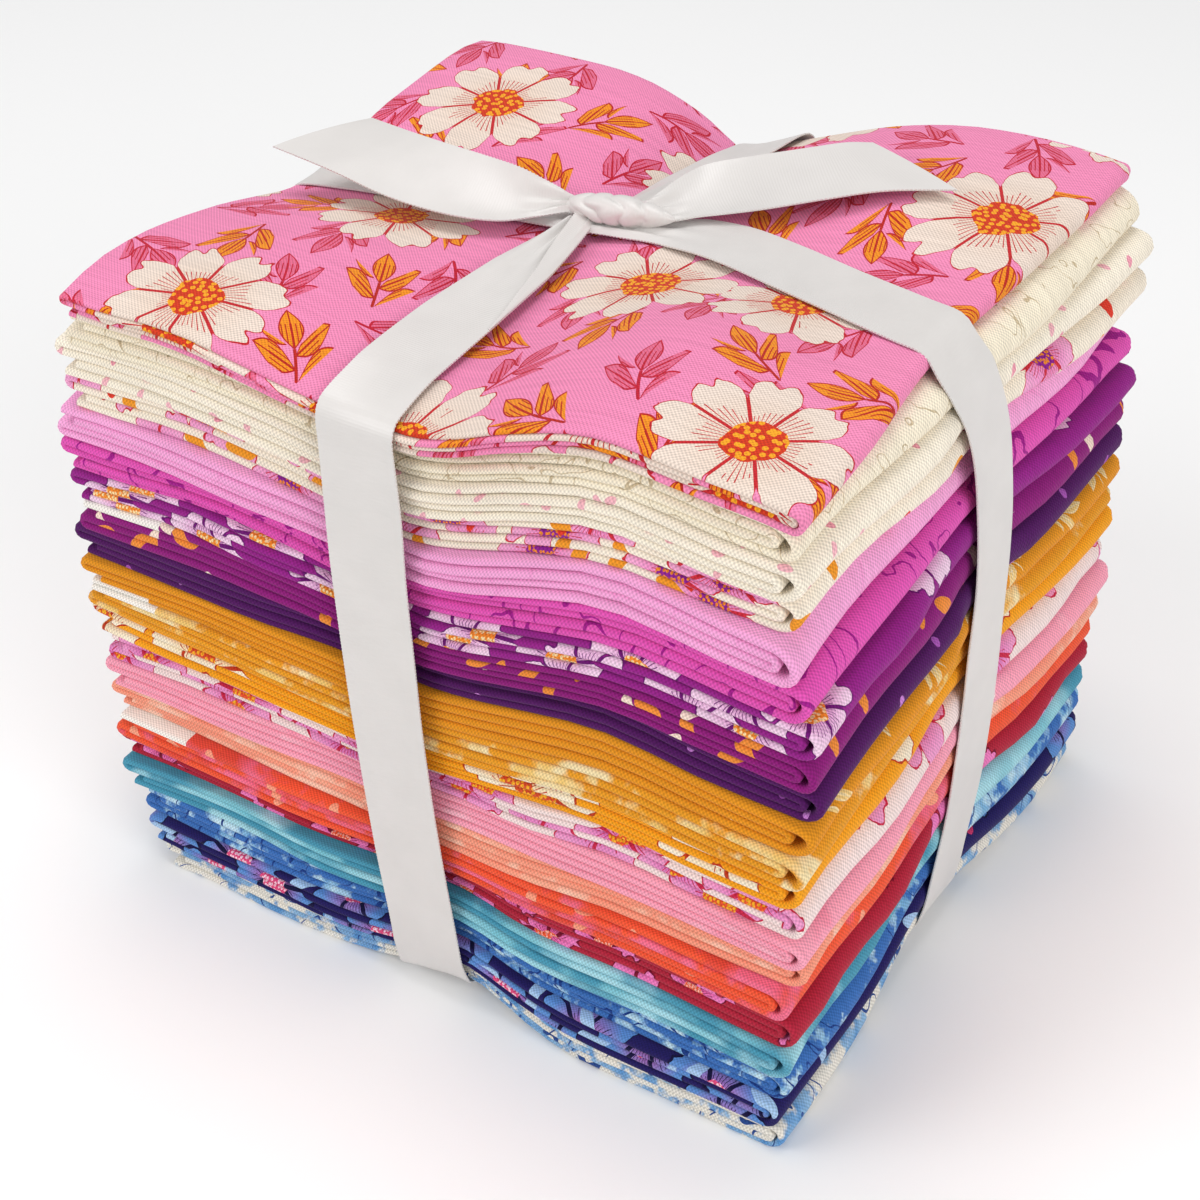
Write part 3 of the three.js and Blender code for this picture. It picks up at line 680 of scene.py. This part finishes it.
def run(start, stop, up, count):
    share = np.linspace(0, 1, count + 2)[1:-1]
    along = start + (stop - start) * (share + folding["bunched"] * np.sin(2 * np.pi * share))
    normal = np.full(count, 1.0 if stop > start else -1.0)
    return np.stack([along, np.full(count, up), np.zeros(count), normal], 1)


def foldedPath(length, outer, inner, raw, setBack, loose, droop, steps, turns):
    side = (outer - inner) / 2
    outerAt = length - outer * loose
    innerAt = length - setBack - inner
    pieces = [
        [[raw[0], outer, 0, 1]], run(raw[0], outerAt, outer, steps),
        arc((outerAt, 0), outer * loose, outer, 90, -90, 2 * turns + 1, droop),
        run(outerAt, side, -outer, steps),
        arc((side, -(outer + inner) / 2), side, side, -90, -270, turns + 1),
        run(side, innerAt, -inner, steps),
        arc((innerAt, 0), inner, inner, -90, 90, turns + 1),
        run(innerAt, raw[1], inner, steps), [[raw[1], inner, 0, -1]],
    ]
    path = np.concatenate(pieces)
    hops = np.linalg.norm(np.diff(path[:, :2], axis=0), axis=1)
    return path, np.concatenate([[0], np.cumsum(hops)])


def solidSheet(name, outside, inside, flat, flip, material):  # two grids of points, closed round their edges
    rows, columns = outside.shape[:2]
    points = np.concatenate([outside.reshape(-1, 3), inside.reshape(-1, 3)]) * mm
    grid = np.arange(rows * columns).reshape(rows, columns)
    under = grid + rows * columns
    quads = np.stack([grid[:-1, :-1], grid[:-1, 1:], grid[1:, 1:], grid[1:, :-1]], 2).reshape(-1, 4)
    rims = []
    for ring in (grid[0, ::-1], grid[-1], grid[:, 0], grid[::-1, -1]):
        low = ring + rows * columns
        rims.append(np.stack([ring[:-1], ring[1:], low[1:], low[:-1]], 1))
    faces = np.concatenate([quads, under.ravel()[quads][:, ::-1], *rims])
    if flip:
        faces = faces[:, ::-1]
    mesh = bpy.data.meshes.new(name)
    mesh.from_pydata(points, [], faces.tolist())
    wrongSide = np.ones(len(faces), np.float32)
    wrongSide[:len(quads)] = 0
    mesh.attributes.new("reverse", "FLOAT", "FACE").data.foreach_set("value", wrongSide)
    places = np.concatenate([flat.reshape(-1, 2), flat.reshape(-1, 2)]) * mm
    uv = places[faces.ravel()].astype(np.float32)
    mesh.uv_layers.new(name="cut").data.foreach_set("uv", uv.ravel())
    mesh.materials.append(material)
    mesh.shade_smooth()
    mesh.set_sharp_from_angle(angle=math.radians(70))
    return putIn(name, mesh)


def waver(dice, count, shortest, longest):  # a few sines with fixed random phase
    waves = 2 * np.pi / dice.uniform(shortest, longest, count)
    phases = dice.uniform(0, 2 * np.pi, count)
    return lambda t: sum(np.sin(w * t + p) for w, p in zip(waves, phases)) / count ** 0.5


def foldQuarter(name, row, base, thick, seed, fine):
    dice = np.random.default_rng(seed)
    row = {**folding, **row}
    low, high = (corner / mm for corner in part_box(name))
    length, width = high.x - low.x, high.y - low.y
    strip = thick / 4
    steps, turns = (row["topSteps"], row["topTurns"]) if fine else (row["steps"], row["turns"])
    lengthwise, u = foldedPath(
        length, 1.5 * strip, 0.5 * strip, row["rawLong"], row["setBack"], row["loose"],
        row["droop"] * strip * row["loose"], steps[0], turns)
    crosswise, v = foldedPath(
        width, row["pack"] * strip, row["innerPly"] * strip, row["rawWide"], row["innerBack"], 1.0, 0.0,
        steps[1], turns)
    frontWave, backWave, leftWave, rightWave = (waver(dice, *row["waves"]) for _ in range(4))
    layerWave = waver(dice, *row["layerWaves"])
    along, level, normalX, normalZ = (column[:, None] for column in lengthwise.T)
    out, offset, normalOut, normalUp = (column[None, :] for column in crosswise.T)
    shareX = np.clip(along / length, 0, 1)
    shareY = np.clip(out / width, 0, 1)
    shift = row["layerShift"] * layerWave(u)[:, None]
    front = row["edgeWave"] * frontWave(along) + shift
    back = row["edgeWave"] * backWave(along) + shift
    left = row["sideWave"] * leftWave(out) + row["leftIn"]
    right = row["sideWave"] * rightWave(out) + row["flare"] * blendTo(-shareY, *row["flareFrom"])
    right = right + row["backOut"] * blendTo(-shareY, *row["backFrom"])
    grids = []
    for skin in (0.5, -0.5):
        lift = offset + skin * row["cloth"] * normalUp
        x = low.x + along + normalX * lift + left * (1 - shareX) + right * shareX
        y = high.y - out - skin * row["cloth"] * normalOut - front * shareY + back * (1 - shareY)
        z = level + normalZ * lift
        z = base + thick / 2 + (-z if row["turned"] else z)
        x, y, z = np.broadcast_arrays(x, y, z)
        grids.append(np.stack(tied(x, y, z), 2))
    flat = np.stack(np.broadcast_arrays(u[:, None], v[None, :]), 2)
    label = name.split("_", 2)[2]
    return solidSheet("folded_" + label, *grids, flat, row["turned"], printedCotton(label, row))


shares = np.array([row["thick"] for row in quarterRows.values()])
heights = shares / shares.sum() * stack["thick"]
bases = stack["thick"] - np.cumsum(heights)
quarters = []
for index, name in enumerate(quarterNames):
    label = name.split("_", 2)[2]
    seed = folding["firstSeed"] + index
    quarters.append(foldQuarter(name, quarterRows[label], bases[index], heights[index], seed, index == 0))
print("quarters folded:", sum(len(piece.data.polygons) for piece in quarters), "faces")

# Satin ribbon: two wraps, a knot and two tails, in millimetres

ribbon = {
    "width": 15.0, "thick": 0.3, "clear": 0.3,
    "columns": 21, "step": 1.5, "tailRows": 64,  # points across, spacing along, rows of a tail
    "knot": (*stack["knotAt"], 124.0),
    "turnAt": 62.0,  # height of the middle that the wraps go round
    "tautLines": 9, "tautStep": 2.2, "corners": 2,  # taut lines across the width, their spacing and rounding
    "settle": 4, "straighten": 12,  # passes that even out a wrap across its width and along its run
    "gatherWrap": (6, 14), "gatherTail": (4, 12), "pleat": 0.5,  # pleats fade between these widths
    "lap": 3.4, "lapRun": (8, 44), "lapLeast": 0.15, "lapColumns": 7, "lapLift": (0.2, 0.55), "lapFull": 1.5,
    "edgePitch": 0.7 * mm, "edgeSize": 0.17 * mm,  # loops of the woven edge
}
# The ribbon's four runs from the knot. layer lifts a run over the one that it crosses, and window is how near
# its line the cloth holds it up. Rows: reach from the knot, height, sideways place, width there
wraps = {
    "right": {"way": (1, 0), "layer": 0.0, "window": 3.6, "rows": [
        (0, 124, 7.0, 5), (8, 124, 8.4, 8.6), (14, 125, 9.0, 12), (24, 126, 7.2, 13.8), (37, 128, 2.0, 14.8),
        (57, 130, -6.2, 15.2), (66, 130.5, -9.6, 15), (73, 129, -11.8, 15), (75, 124, -7.8, 15.2),
        (75, 117, -3.4, 15.2), (75, 111, -0.3, 15.2), (75, 105, 2.0, 15.2), (75, 91, 5.2, 15.2),
        (76, 82, 6.2, 15), (76, 66, 6.2, 15), (76, 56, 6.8, 14.6), (75, 47, 6.7, 14.4), (75, 37, 6.5, 14.4),
        (75, 28, 6.0, 14.4), (75, 16, 2.4, 14.6), (74, 8, 0.6, 15), (40, 4, 1.6, 15), (0, 4, 2.0, 15)]},
    "left": {"way": (-1, 0), "layer": 0.0, "window": 3.6, "rows": [
        (0, 124, 7.0, 5), (10, 122, 7.2, 9), (22, 119, 7.0, 12.6), (40, 117, 6.6, 14.6), (66, 116, 6.2, 15),
        (68, 60, 5.0, 15), (66, 6, 2.6, 15), (0, 4, 2.0, 15)]},
    "front": {"way": (0, -1), "layer": 0.5, "window": 3.6, "rows": [
        (0, 124, -9.6, 4.6), (9, 124, -9.0, 7.4), (20, 124, -8.7, 10.8), (38, 123, -8.6, 12.9),
        (58, 122, -7.8, 13.2), (68, 119, -7.2, 14), (69, 106, -7.0, 14.8), (69, 94, -7.3, 14.8),
        (69, 77, -6.9, 14.8), (69, 62, -6.5, 14.6), (69, 45, -5.5, 14.6), (69, 30, -4.3, 14.8),
        (68, 10, -2.1, 14.8), (40, 4, -2.4, 15), (0, 4, -3.0, 15)]},
    "back": {"way": (0, 1), "layer": 0.5, "window": 2.0, "rows": [
        (0, 124, -5.0, 5), (10, 121, -3.6, 8.6), (22, 118, -2.0, 11.8), (40, 116, -0.4, 13.4),
        (54, 115, 0.2, 14.2), (54, 60, -1.0, 15), (54, 6, -2.6, 15), (0, 4, -3.0, 15)]},
}
# Tails from the knot to the cut end: front edge, back edge, depth of the hollow between them
tails = {
    "left": [
        ((-10.6, 6.0, 126.6), (-11.0, 7.6, 127.4), 0.0), ((-13.4, 3.9, 126.2), (-14.4, 7.6, 129.0), 0.9),
        ((-15.8, 1.0, 126.0), (-18.4, 6.6, 130.6), 1.6), ((-19.7, -4.0, 126.2), (-22.6, 5.8, 131.7), 1.5),
        ((-27.1, -8.0, 127.2), (-29.0, 5.4, 132.3), 0.8), ((-38.4, -9.8, 128.5), (-37.0, 5.6, 132.5), 0.3),
        ((-51.7, -8.9, 130.0), (-46.0, 6.8, 132.3), -0.3), ((-65.7, -7.2, 130.5), (-55.6, 8.5, 132.0), -0.5)],
    "right": [
        ((1.5, 7.2, 126.6), (0.5, 9.2, 128.6), 0.0), ((6.0, 9.4, 127.0), (1.6, 13.0, 129.6), 0.9),
        ((10.0, 11.6, 127.6), (2.6, 18.4, 130.2), 1.6), ((15.0, 13.6, 128.6), (4.6, 24.6, 130.6), 1.5),
        ((21.5, 15.8, 130.2), (10.4, 28.8, 131.6), 0.8), ((30.0, 19.4, 132.4), (19.6, 32.6, 133.8), 0.2),
        ((39.0, 23.4, 134.4), (25.4, 35.4, 135.0), 0.0), ((49.5, 27.9, 135.2), (29.8, 36.9, 135.4), -0.3)],
}

satinForm = {
    "dark": "#d5d1ce", "light": "#dad6d3",
    "rib": 0.5 * mm, "ribShare": 0.3,  # cross ribs, drawn coarser than the real threads so that they show
    "driftScale": 110.0,  # soft patches about 9 mm across
    "bump": 0.22, "depth": 0.1 * mm,
    "roughness": 0.36, "shine": 0.5, "sheen": 0.08, "sheenRoughness": 0.4,
}


def satinRibbon():  # woven polyester satin: smooth, warm white, a soft sheen along it and fine cross ribs
    material, tree = newMaterial("wovenSatin_ribbon")
    flat = addNode(tree, "ShaderNodeUVMap", uv_map="cut")
    axes = addNode(tree, "ShaderNodeSeparateXYZ", (flat,), out=None).outputs
    ribs = addNode(tree, maths, (axes[0], 2 * math.pi / satinForm["rib"]), operation="MULTIPLY")
    ribs = addNode(tree, maths, (ribs,), operation="SINE")
    drift = addNode(tree, noiseMap, {"Vector": flat, "Scale": satinForm["driftScale"], "Detail": 3.0})
    shade = addNode(tree, rangeMap, {0: drift, 1: 0.3, 2: 0.7, 3: 0.0, 4: 1.0})
    dark, light = hexColor(satinForm["dark"]), hexColor(satinForm["light"])
    color = addNode(tree, mixer, {0: shade, 6: dark, 7: light}, **onColors)
    height = addNode(tree, maths, (ribs, satinForm["ribShare"], drift), operation="MULTIPLY_ADD")
    bump = addNode(tree, "ShaderNodeBump", {
        "Height": height, "Strength": satinForm["bump"], "Distance": satinForm["depth"]})
    cloth = addNode(tree, "ShaderNodeBsdfPrincipled", {
        "Base Color": color, "Roughness": satinForm["roughness"], "Normal": bump,
        "Specular IOR Level": satinForm["shine"], "Sheen Weight": satinForm["sheen"],
        "Sheen Roughness": satinForm["sheenRoughness"]})
    addNode(tree, "ShaderNodeOutputMaterial", {"Surface": cloth}, out=None)
    return material


satin = satinRibbon()
cloud = np.concatenate([np.array([v.co for v in piece.data.vertices]) for piece in quarters]) / mm


def evenly(points, step):
    hops = np.linalg.norm(np.diff(points, axis=0), axis=1)
    far = np.concatenate([[0], np.cumsum(hops)])
    at = np.linspace(0, far[-1], int(far[-1] / step) + 1)
    return np.stack([np.interp(at, far, points[:, k]) for k in range(points.shape[1])], 1)


def rounded(points, times):  # corners cut, as a stiff ribbon takes them
    for _ in range(times):
        near = 0.75 * points[:-1] + 0.25 * points[1:]
        far = 0.25 * points[:-1] + 0.75 * points[1:]
        middle = np.stack([near, far], 1).reshape(-1, points.shape[1])
        points = np.concatenate([points[:1], middle, points[-1:]])
    return points


def hullChain(points):  # taut line over points (reach, height), from the top middle to the bottom middle
    points = points[np.lexsort((points[:, 1], points[:, 0]))]
    chains = []
    for turn in (1, -1):
        chain = []
        for p in points:
            while len(chain) > 1:
                a, b = chain[-2], chain[-1]
                if turn * ((b[0] - a[0]) * (p[1] - a[1]) - (b[1] - a[1]) * (p[0] - a[0])) < 0:
                    break
                chain.pop()
            chain.append(p)
        chains.append(chain)
    return np.array(chains[0][1:] + chains[1][::-1][1:])


def clockOf(reach, height):  # place along a wrap, 0 at the knot and growing down the face to the underside
    return np.pi / 2 - np.arctan2(height - ribbon["turnAt"], np.maximum(reach, 0))


def evened(values):  # each row drawn halfway to its neighbours, the ends kept
    values[1:-1] = (values[:-2] + 2 * values[1:-1] + values[2:]) / 4


def wrapGrid(wrap):
    knot = np.array(ribbon["knot"])
    way = np.array(wrap["way"])
    aside = np.array((abs(way[1]), abs(way[0])))
    rows = np.array(wrap["rows"], float)
    keys = clockOf(rows[:, 0], rows[:, 1])
    reach = (cloud[:, :2] - knot[:2]) @ way
    clock = clockOf(reach, cloud[:, 2])
    offset = cloud[:, :2] @ aside - np.interp(clock, keys, rows[:, 2])
    half = np.interp(clock, keys, rows[:, 3]) / 2
    chains = []
    lines = np.linspace(-1, 1, ribbon["tautLines"])
    for c in lines:  # a taut line for each part of the width
        near = (np.abs(offset - c * half) < wrap["window"]) & (reach > 0)
        section = np.stack([reach[near], cloud[near, 2]], 1)
        ends = np.array([[0, knot[2]], [0, section[:, 1].min()]])
        chain = evenly(hullChain(np.concatenate([section, ends])), ribbon["tautStep"])
        chain = rounded(chain, ribbon["corners"])
        tangent = np.gradient(chain, axis=0)
        tangent = tangent / np.linalg.norm(tangent, axis=1)[:, None]
        outward = np.stack([-tangent[:, 1], tangent[:, 0]], 1)
        chains.append(chain + (ribbon["clear"] + wrap["layer"]) * outward)
    center = len(lines) // 2
    middle = evenly(chains[center], ribbon["step"])
    stations = clockOf(middle[:, 0], middle[:, 1])
    stations[0], stations[-1] = 0, np.pi
    radii = []
    for chain in chains:
        radius = np.hypot(chain[:, 0], chain[:, 1] - ribbon["turnAt"])
        radii.append(np.interp(stations, clockOf(chain[:, 0], chain[:, 1]), radius))
    radii = np.stack(radii, 1)
    spread = radii - radii[:, center:center + 1]
    for _ in range(ribbon["settle"]):
        evened(spread.T)
        evened(spread)
    radii = radii[:, center:center + 1] + spread
    share = np.linspace(-1, 1, ribbon["columns"])
    width = np.interp(stations, keys, rows[:, 3])
    gather = 1 - blendTo(width, *ribbon["gatherWrap"])
    lift = gather[:, None] * ribbon["pleat"] * np.cos(3 * np.pi * share)[None, :]
    radius = np.stack([np.interp(share, lines, r) for r in radii]) + lift
    turn = stations[:, None]
    place = np.interp(stations, keys, rows[:, 2])
    for _ in range(ribbon["straighten"]):
        evened(place)
    side = place[:, None] + share[None, :] * width[:, None] / 2
    flat = knot[:2] @ way + radius * np.sin(turn)
    grid = np.zeros((*radius.shape, 3))
    grid[:, :, :2] = flat[:, :, None] * way + side[:, :, None] * aside
    grid[:, :, 2] = ribbon["turnAt"] + radius * np.cos(turn)
    return grid, way[0] - way[1] < 0


def lapGrid(grid):  # edge of a run folded back over itself beside the knot, narrowing to nothing
    far = np.arange(len(grid)) * ribbon["step"]
    width = ribbon["lap"] * (1 - blendTo(far, *ribbon["lapRun"]))
    keep = width > ribbon["lapLeast"]
    edge = grid[keep, -1]
    inward = grid[keep, -6] - edge  # towards the middle of the run
    inward = inward / np.linalg.norm(inward, axis=1)[:, None]
    share = np.linspace(0, 1, ribbon["lapColumns"])[None, :, None]
    over = edge[:, None] + inward[:, None] * share * width[keep][:, None, None]
    low, high = ribbon["lapLift"]
    full = np.minimum(width[keep] / ribbon["lapFull"], 1)[:, None]
    over[:, :, 2] += low + high * np.sqrt(share[:, :, 0]) * full
    return over


def tailGrid(rows):  # smooth rails along both edges, with the ribbon hollow between them
    front, rear, hollow = (np.array([row[k] for row in rows], float) for k in range(3))
    keys = np.arange(len(rows))
    at = np.linspace(0, keys[-1], ribbon["tailRows"])
    rails = np.concatenate([front, rear, hollow[:, None]], 1)
    slopes = np.gradient(rails, axis=0)
    low = np.minimum(at.astype(int), keys[-1] - 1)
    t = (at - low)[:, None]
    line = ((2 * t ** 3 - 3 * t ** 2 + 1) * rails[low] + (t ** 3 - 2 * t ** 2 + t) * slopes[low]
            + (3 * t ** 2 - 2 * t ** 3) * rails[low + 1] + (t ** 3 - t ** 2) * slopes[low + 1])
    share = np.linspace(0, 1, ribbon["columns"])[None, :, None]
    grid = line[:, None, :3] * (1 - share) + line[:, None, 3:6] * share
    width = np.linalg.norm(line[:, :3] - line[:, 3:6], axis=1)
    gather = (1 - blendTo(width, *ribbon["gatherTail"]))[:, None]
    c = 2 * share[:, :, 0] - 1
    grid[:, :, 2] += -line[:, 6:7] * (1 - c ** 2) + ribbon["pleat"] * gather * np.cos(3 * np.pi * c)
    return grid


def stripPiece(name, grid, flip):
    normal = np.cross(np.gradient(grid, axis=0), np.gradient(grid, axis=1))
    normal = normal / np.maximum(np.linalg.norm(normal, axis=2), 1e-9)[:, :, None]
    half = ribbon["thick"] / 2 * (-1 if flip else 1)
    far = np.concatenate([[0], np.cumsum(np.linalg.norm(np.diff(grid.mean(1), axis=0), axis=1))])
    share = np.linspace(-1, 1, grid.shape[1]) * ribbon["width"] / 2
    flat = np.stack(np.broadcast_arrays(far[:, None], share[None, :]), 2)
    return solidSheet(name, grid - half * normal, grid + half * normal, flat, flip, satin)


knotForm = {
    "from": (-12.8, 6.7, 126.7), "to": (7.4, 9.2, 127.4), "radius": 2.9,
    "folds": 2.5, "slant": 0.4, "stray": 0.75, "depth": 0.17,  # puckers round it
    "rings": 91, "round": 72, "lean": -0.05, "flatten": 0.95,
}


def knotLump():  # the ribbon wound once round itself, bunched into a short roll
    start, stop = np.array(knotForm["from"]), np.array(knotForm["to"])
    along = np.linspace(-1, 1, knotForm["rings"])[:, None]
    turn = np.linspace(0, 2 * np.pi, knotForm["round"] + 1)[None, :-1]
    blunt = (1 - np.abs(along) ** 2.4) ** 0.5
    taper = (1 - np.abs(along) ** 1.8) ** 0.7
    body = np.where(along < 0, blunt, taper)
    ruche = np.ones((along.size, turn.size))
    for i, a in enumerate(along[:, 0]):  # rounded puckers with soft creases between, none alike
        for j, t in enumerate(turn[0]):
            place = Vector((1.6 * a, 0.8 * math.cos(t), 0.8 * math.sin(t)))
            drift = knotForm["slant"] * math.sin(t + 0.5) + knotForm["stray"] * noise.noise(place)
            fold = abs(math.sin(math.pi * (knotForm["folds"] * a + drift)))
            ruche[i, j] -= knotForm["depth"] * (1 - fold) ** 1.6 * (1 + noise.noise(place * 1.7))
    radius = knotForm["radius"] * body * ruche
    axis = (stop - start) / 2
    middle = (stop + start) / 2
    outward = np.cos(turn)[:, :, None] * np.array((knotForm["lean"], 1, 0))
    upward = np.sin(turn)[:, :, None] * np.array((0, 0, knotForm["flatten"]))
    grid = middle + along[:, :, None] * axis
    grid = grid + radius[:, :, None] * (outward + upward)
    flat = np.stack(np.broadcast_arrays(9 + 9 * along, 2.5 * turn), 2)
    points = np.concatenate([grid, flat], 2)
    points = np.concatenate([points[0, :1], points[1:-1].reshape(-1, 5), points[-1, :1]]) * mm
    last = len(points) - 1
    index = np.arange(1, last).reshape(-1, turn.size)
    beside = np.roll(index, -1, axis=1)
    quads = np.stack([index[:-1], beside[:-1], beside[1:], index[1:]], 2).reshape(-1, 4)
    tips = [(0, b, a) for a, b in zip(index[0], beside[0])]
    tips = tips + [(a, b, last) for a, b in zip(index[-1], beside[-1])]
    mesh = bpy.data.meshes.new("knot")
    mesh.from_pydata(points[:, :3], [], quads.tolist() + tips)
    mesh.materials.append(satin)
    loops = np.concatenate([quads.ravel(), np.ravel(tips)])
    mesh.uv_layers.new(name="cut").data.foreach_set("uv", points[loops, 3:].astype(np.float32).ravel())
    mesh.shade_smooth()
    return putIn("knot", mesh)


def wovenEdge(lines):  # small loops along the ribbon's two edges
    tree = bpy.data.node_groups.new("wovenEdge", "GeometryNodeTree")
    tree.interface.new_socket("Geometry", in_out="INPUT", socket_type="NodeSocketGeometry")
    inputs = {}
    for name in ("Pitch", "Size"):
        socket = tree.interface.new_socket(name, in_out="INPUT", socket_type="NodeSocketFloat")
        inputs[name] = socket.identifier
    tree.interface.new_socket("Geometry", in_out="OUTPUT", socket_type="NodeSocketGeometry")
    given = tree.nodes.new("NodeGroupInput").outputs
    curve = addNode(tree, "GeometryNodeMeshToCurve", (given["Geometry"],))
    points = addNode(tree, "GeometryNodeResampleCurve", {"Curve": curve, "Length": given["Pitch"]},
                     mode="LENGTH")
    loop = addNode(tree, "GeometryNodeMeshIcoSphere", {"Radius": given["Size"], "Subdivisions": 1})
    loops = addNode(tree, "GeometryNodeInstanceOnPoints", {"Points": points, "Instance": loop})
    real = addNode(tree, "GeometryNodeRealizeInstances", (loops,))
    real = addNode(tree, "GeometryNodeSetMaterial", {"Geometry": real, "Material": satin})
    tree.links.new(real, tree.nodes.new("NodeGroupOutput").inputs[0])
    points = np.concatenate(lines) * mm
    ends = np.cumsum([len(line) for line in lines])
    edges = [(i, i + 1) for i in range(len(points) - 1) if i + 1 not in ends]
    mesh = bpy.data.meshes.new("edgeLines")
    mesh.from_pydata(points, edges, [])
    carrier = putIn("edgeLines", mesh)
    modifier = carrier.modifiers.new("wovenEdge", "NODES")
    modifier.node_group = tree
    modifier[inputs["Pitch"]] = ribbon["edgePitch"]
    modifier[inputs["Size"]] = ribbon["edgeSize"]
    ready = carrier.evaluated_get(bpy.context.evaluated_depsgraph_get())
    plain = bpy.data.meshes.new_from_object(ready)
    bpy.data.objects.remove(carrier)
    return putIn("edgeLoops", plain)


def joinPieces(pieces, name):
    whole = pieces[0]
    with bpy.context.temp_override(active_object=whole, selected_editable_objects=pieces, object=whole):
        bpy.ops.object.join()
    whole.name = name
    whole.data.name = name
    return whole


strips = [wrapGrid(wrap) for wrap in wraps.values()]
strips = strips + [(tailGrid(tails["left"]), True), (tailGrid(tails["right"]), False)]
front = list(wraps).index("front")
strips.append((lapGrid(strips[front][0]), True))
selvages = [grid[:, side] for grid, _ in strips for side in (0, -1)]
parts = [stripPiece("strip", grid, flip) for grid, flip in strips]
bow = joinPieces(parts + [knotLump(), wovenEdge(selvages)], "satin_ribbon")
print("ribbon tied:", len(bow.data.polygons), "faces")

# Floor, light and camera

studio = {
    "azimuth": 33.39, "elevation": 36.56, "roll": -1.5, "distance": 399.3, "target": (-2.3, -2.2, 51.5),
    "focal": 2128.7, "image": 1200,  # focal length in pixels of the square image
    "sensor": 36.0,
    "paper": "#f8f8f8", "sky": 0.42,
    "lampAim": (0, 0, 0.06),  # metres
}


def paperFloor():  # seamless white paper: matt and even
    material, tree = newMaterial("seamlessPaper_floor")
    paper = addNode(tree, "ShaderNodeBsdfPrincipled", {
        "Base Color": hexColor(studio["paper"]), "Roughness": 0.9, "Specular IOR Level": 0.1})
    addNode(tree, "ShaderNodeOutputMaterial", {"Surface": paper}, out=None)
    return material


floorMesh = bpy.data.meshes.new("floor")
floorMesh.from_pydata([(-3, -3, 0), (3, -3, 0), (3, 3, 0), (-3, 3, 0)], [], [(0, 1, 2, 3)])
floorMesh.materials.append(paperFloor())
floor = putIn("floor", floorMesh)

world = bpy.data.worlds.new("studio")
world.use_nodes = True
world.node_tree.nodes["Background"].inputs["Color"].default_value = (1, 1, 1, 1)
world.node_tree.nodes["Background"].inputs["Strength"].default_value = studio["sky"]
bpy.context.scene.world = world

softBoxes = {
    "overhead": {"from": (-0.1, 0.12, 1.25), "size": 0.75, "power": 6.0},
    "left": {"from": (-0.75, -0.85, 0.75), "size": 0.9, "power": 6.2},
    "right": {"from": (1.0, -0.4, 0.6), "size": 0.9, "power": 6.1},
}
for name, box in softBoxes.items():
    light = bpy.data.lights.new(name, "AREA")
    light.shape = "DISK"
    light.size = box["size"]
    light.energy = box["power"]
    lamp = putIn(name, light)
    lamp.location = box["from"]
    aim = Vector(studio["lampAim"]) - lamp.location
    lamp.rotation_euler = aim.to_track_quat("-Z", "Y").to_euler()

azimuth, elevation, roll = (math.radians(studio[key]) for key in ("azimuth", "elevation", "roll"))
back = Vector((math.sin(azimuth) * math.cos(elevation), -math.cos(azimuth) * math.cos(elevation),
               math.sin(elevation)))
right = (-back).cross(Vector((0, 0, 1))).normalized()
up = right.cross(-back)
axisX = math.cos(roll) * right + math.sin(roll) * up
axisY = -math.sin(roll) * right + math.cos(roll) * up
lens = bpy.data.cameras.new("camera")
lens.sensor_width = studio["sensor"]
lens.lens = studio["focal"] / studio["image"] * lens.sensor_width
camera = putIn("camera", lens)
turned = Matrix((axisX, axisY, back)).transposed().to_4x4()
stand = (Vector(studio["target"]) + back * studio["distance"]) * mm
camera.matrix_world = Matrix.Translation(stand) @ turned
bpy.context.scene.camera = camera
bpy.context.scene.view_settings.view_transform = "Standard"
print("studio set:", len(softBoxes), "lamps and a camera")

# What each piece stands for

for index, (name, piece) in enumerate(zip(quarterNames, quarters)):
    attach(piece, "root")
    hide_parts(name)
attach(bow, "root")
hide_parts("ribbon")
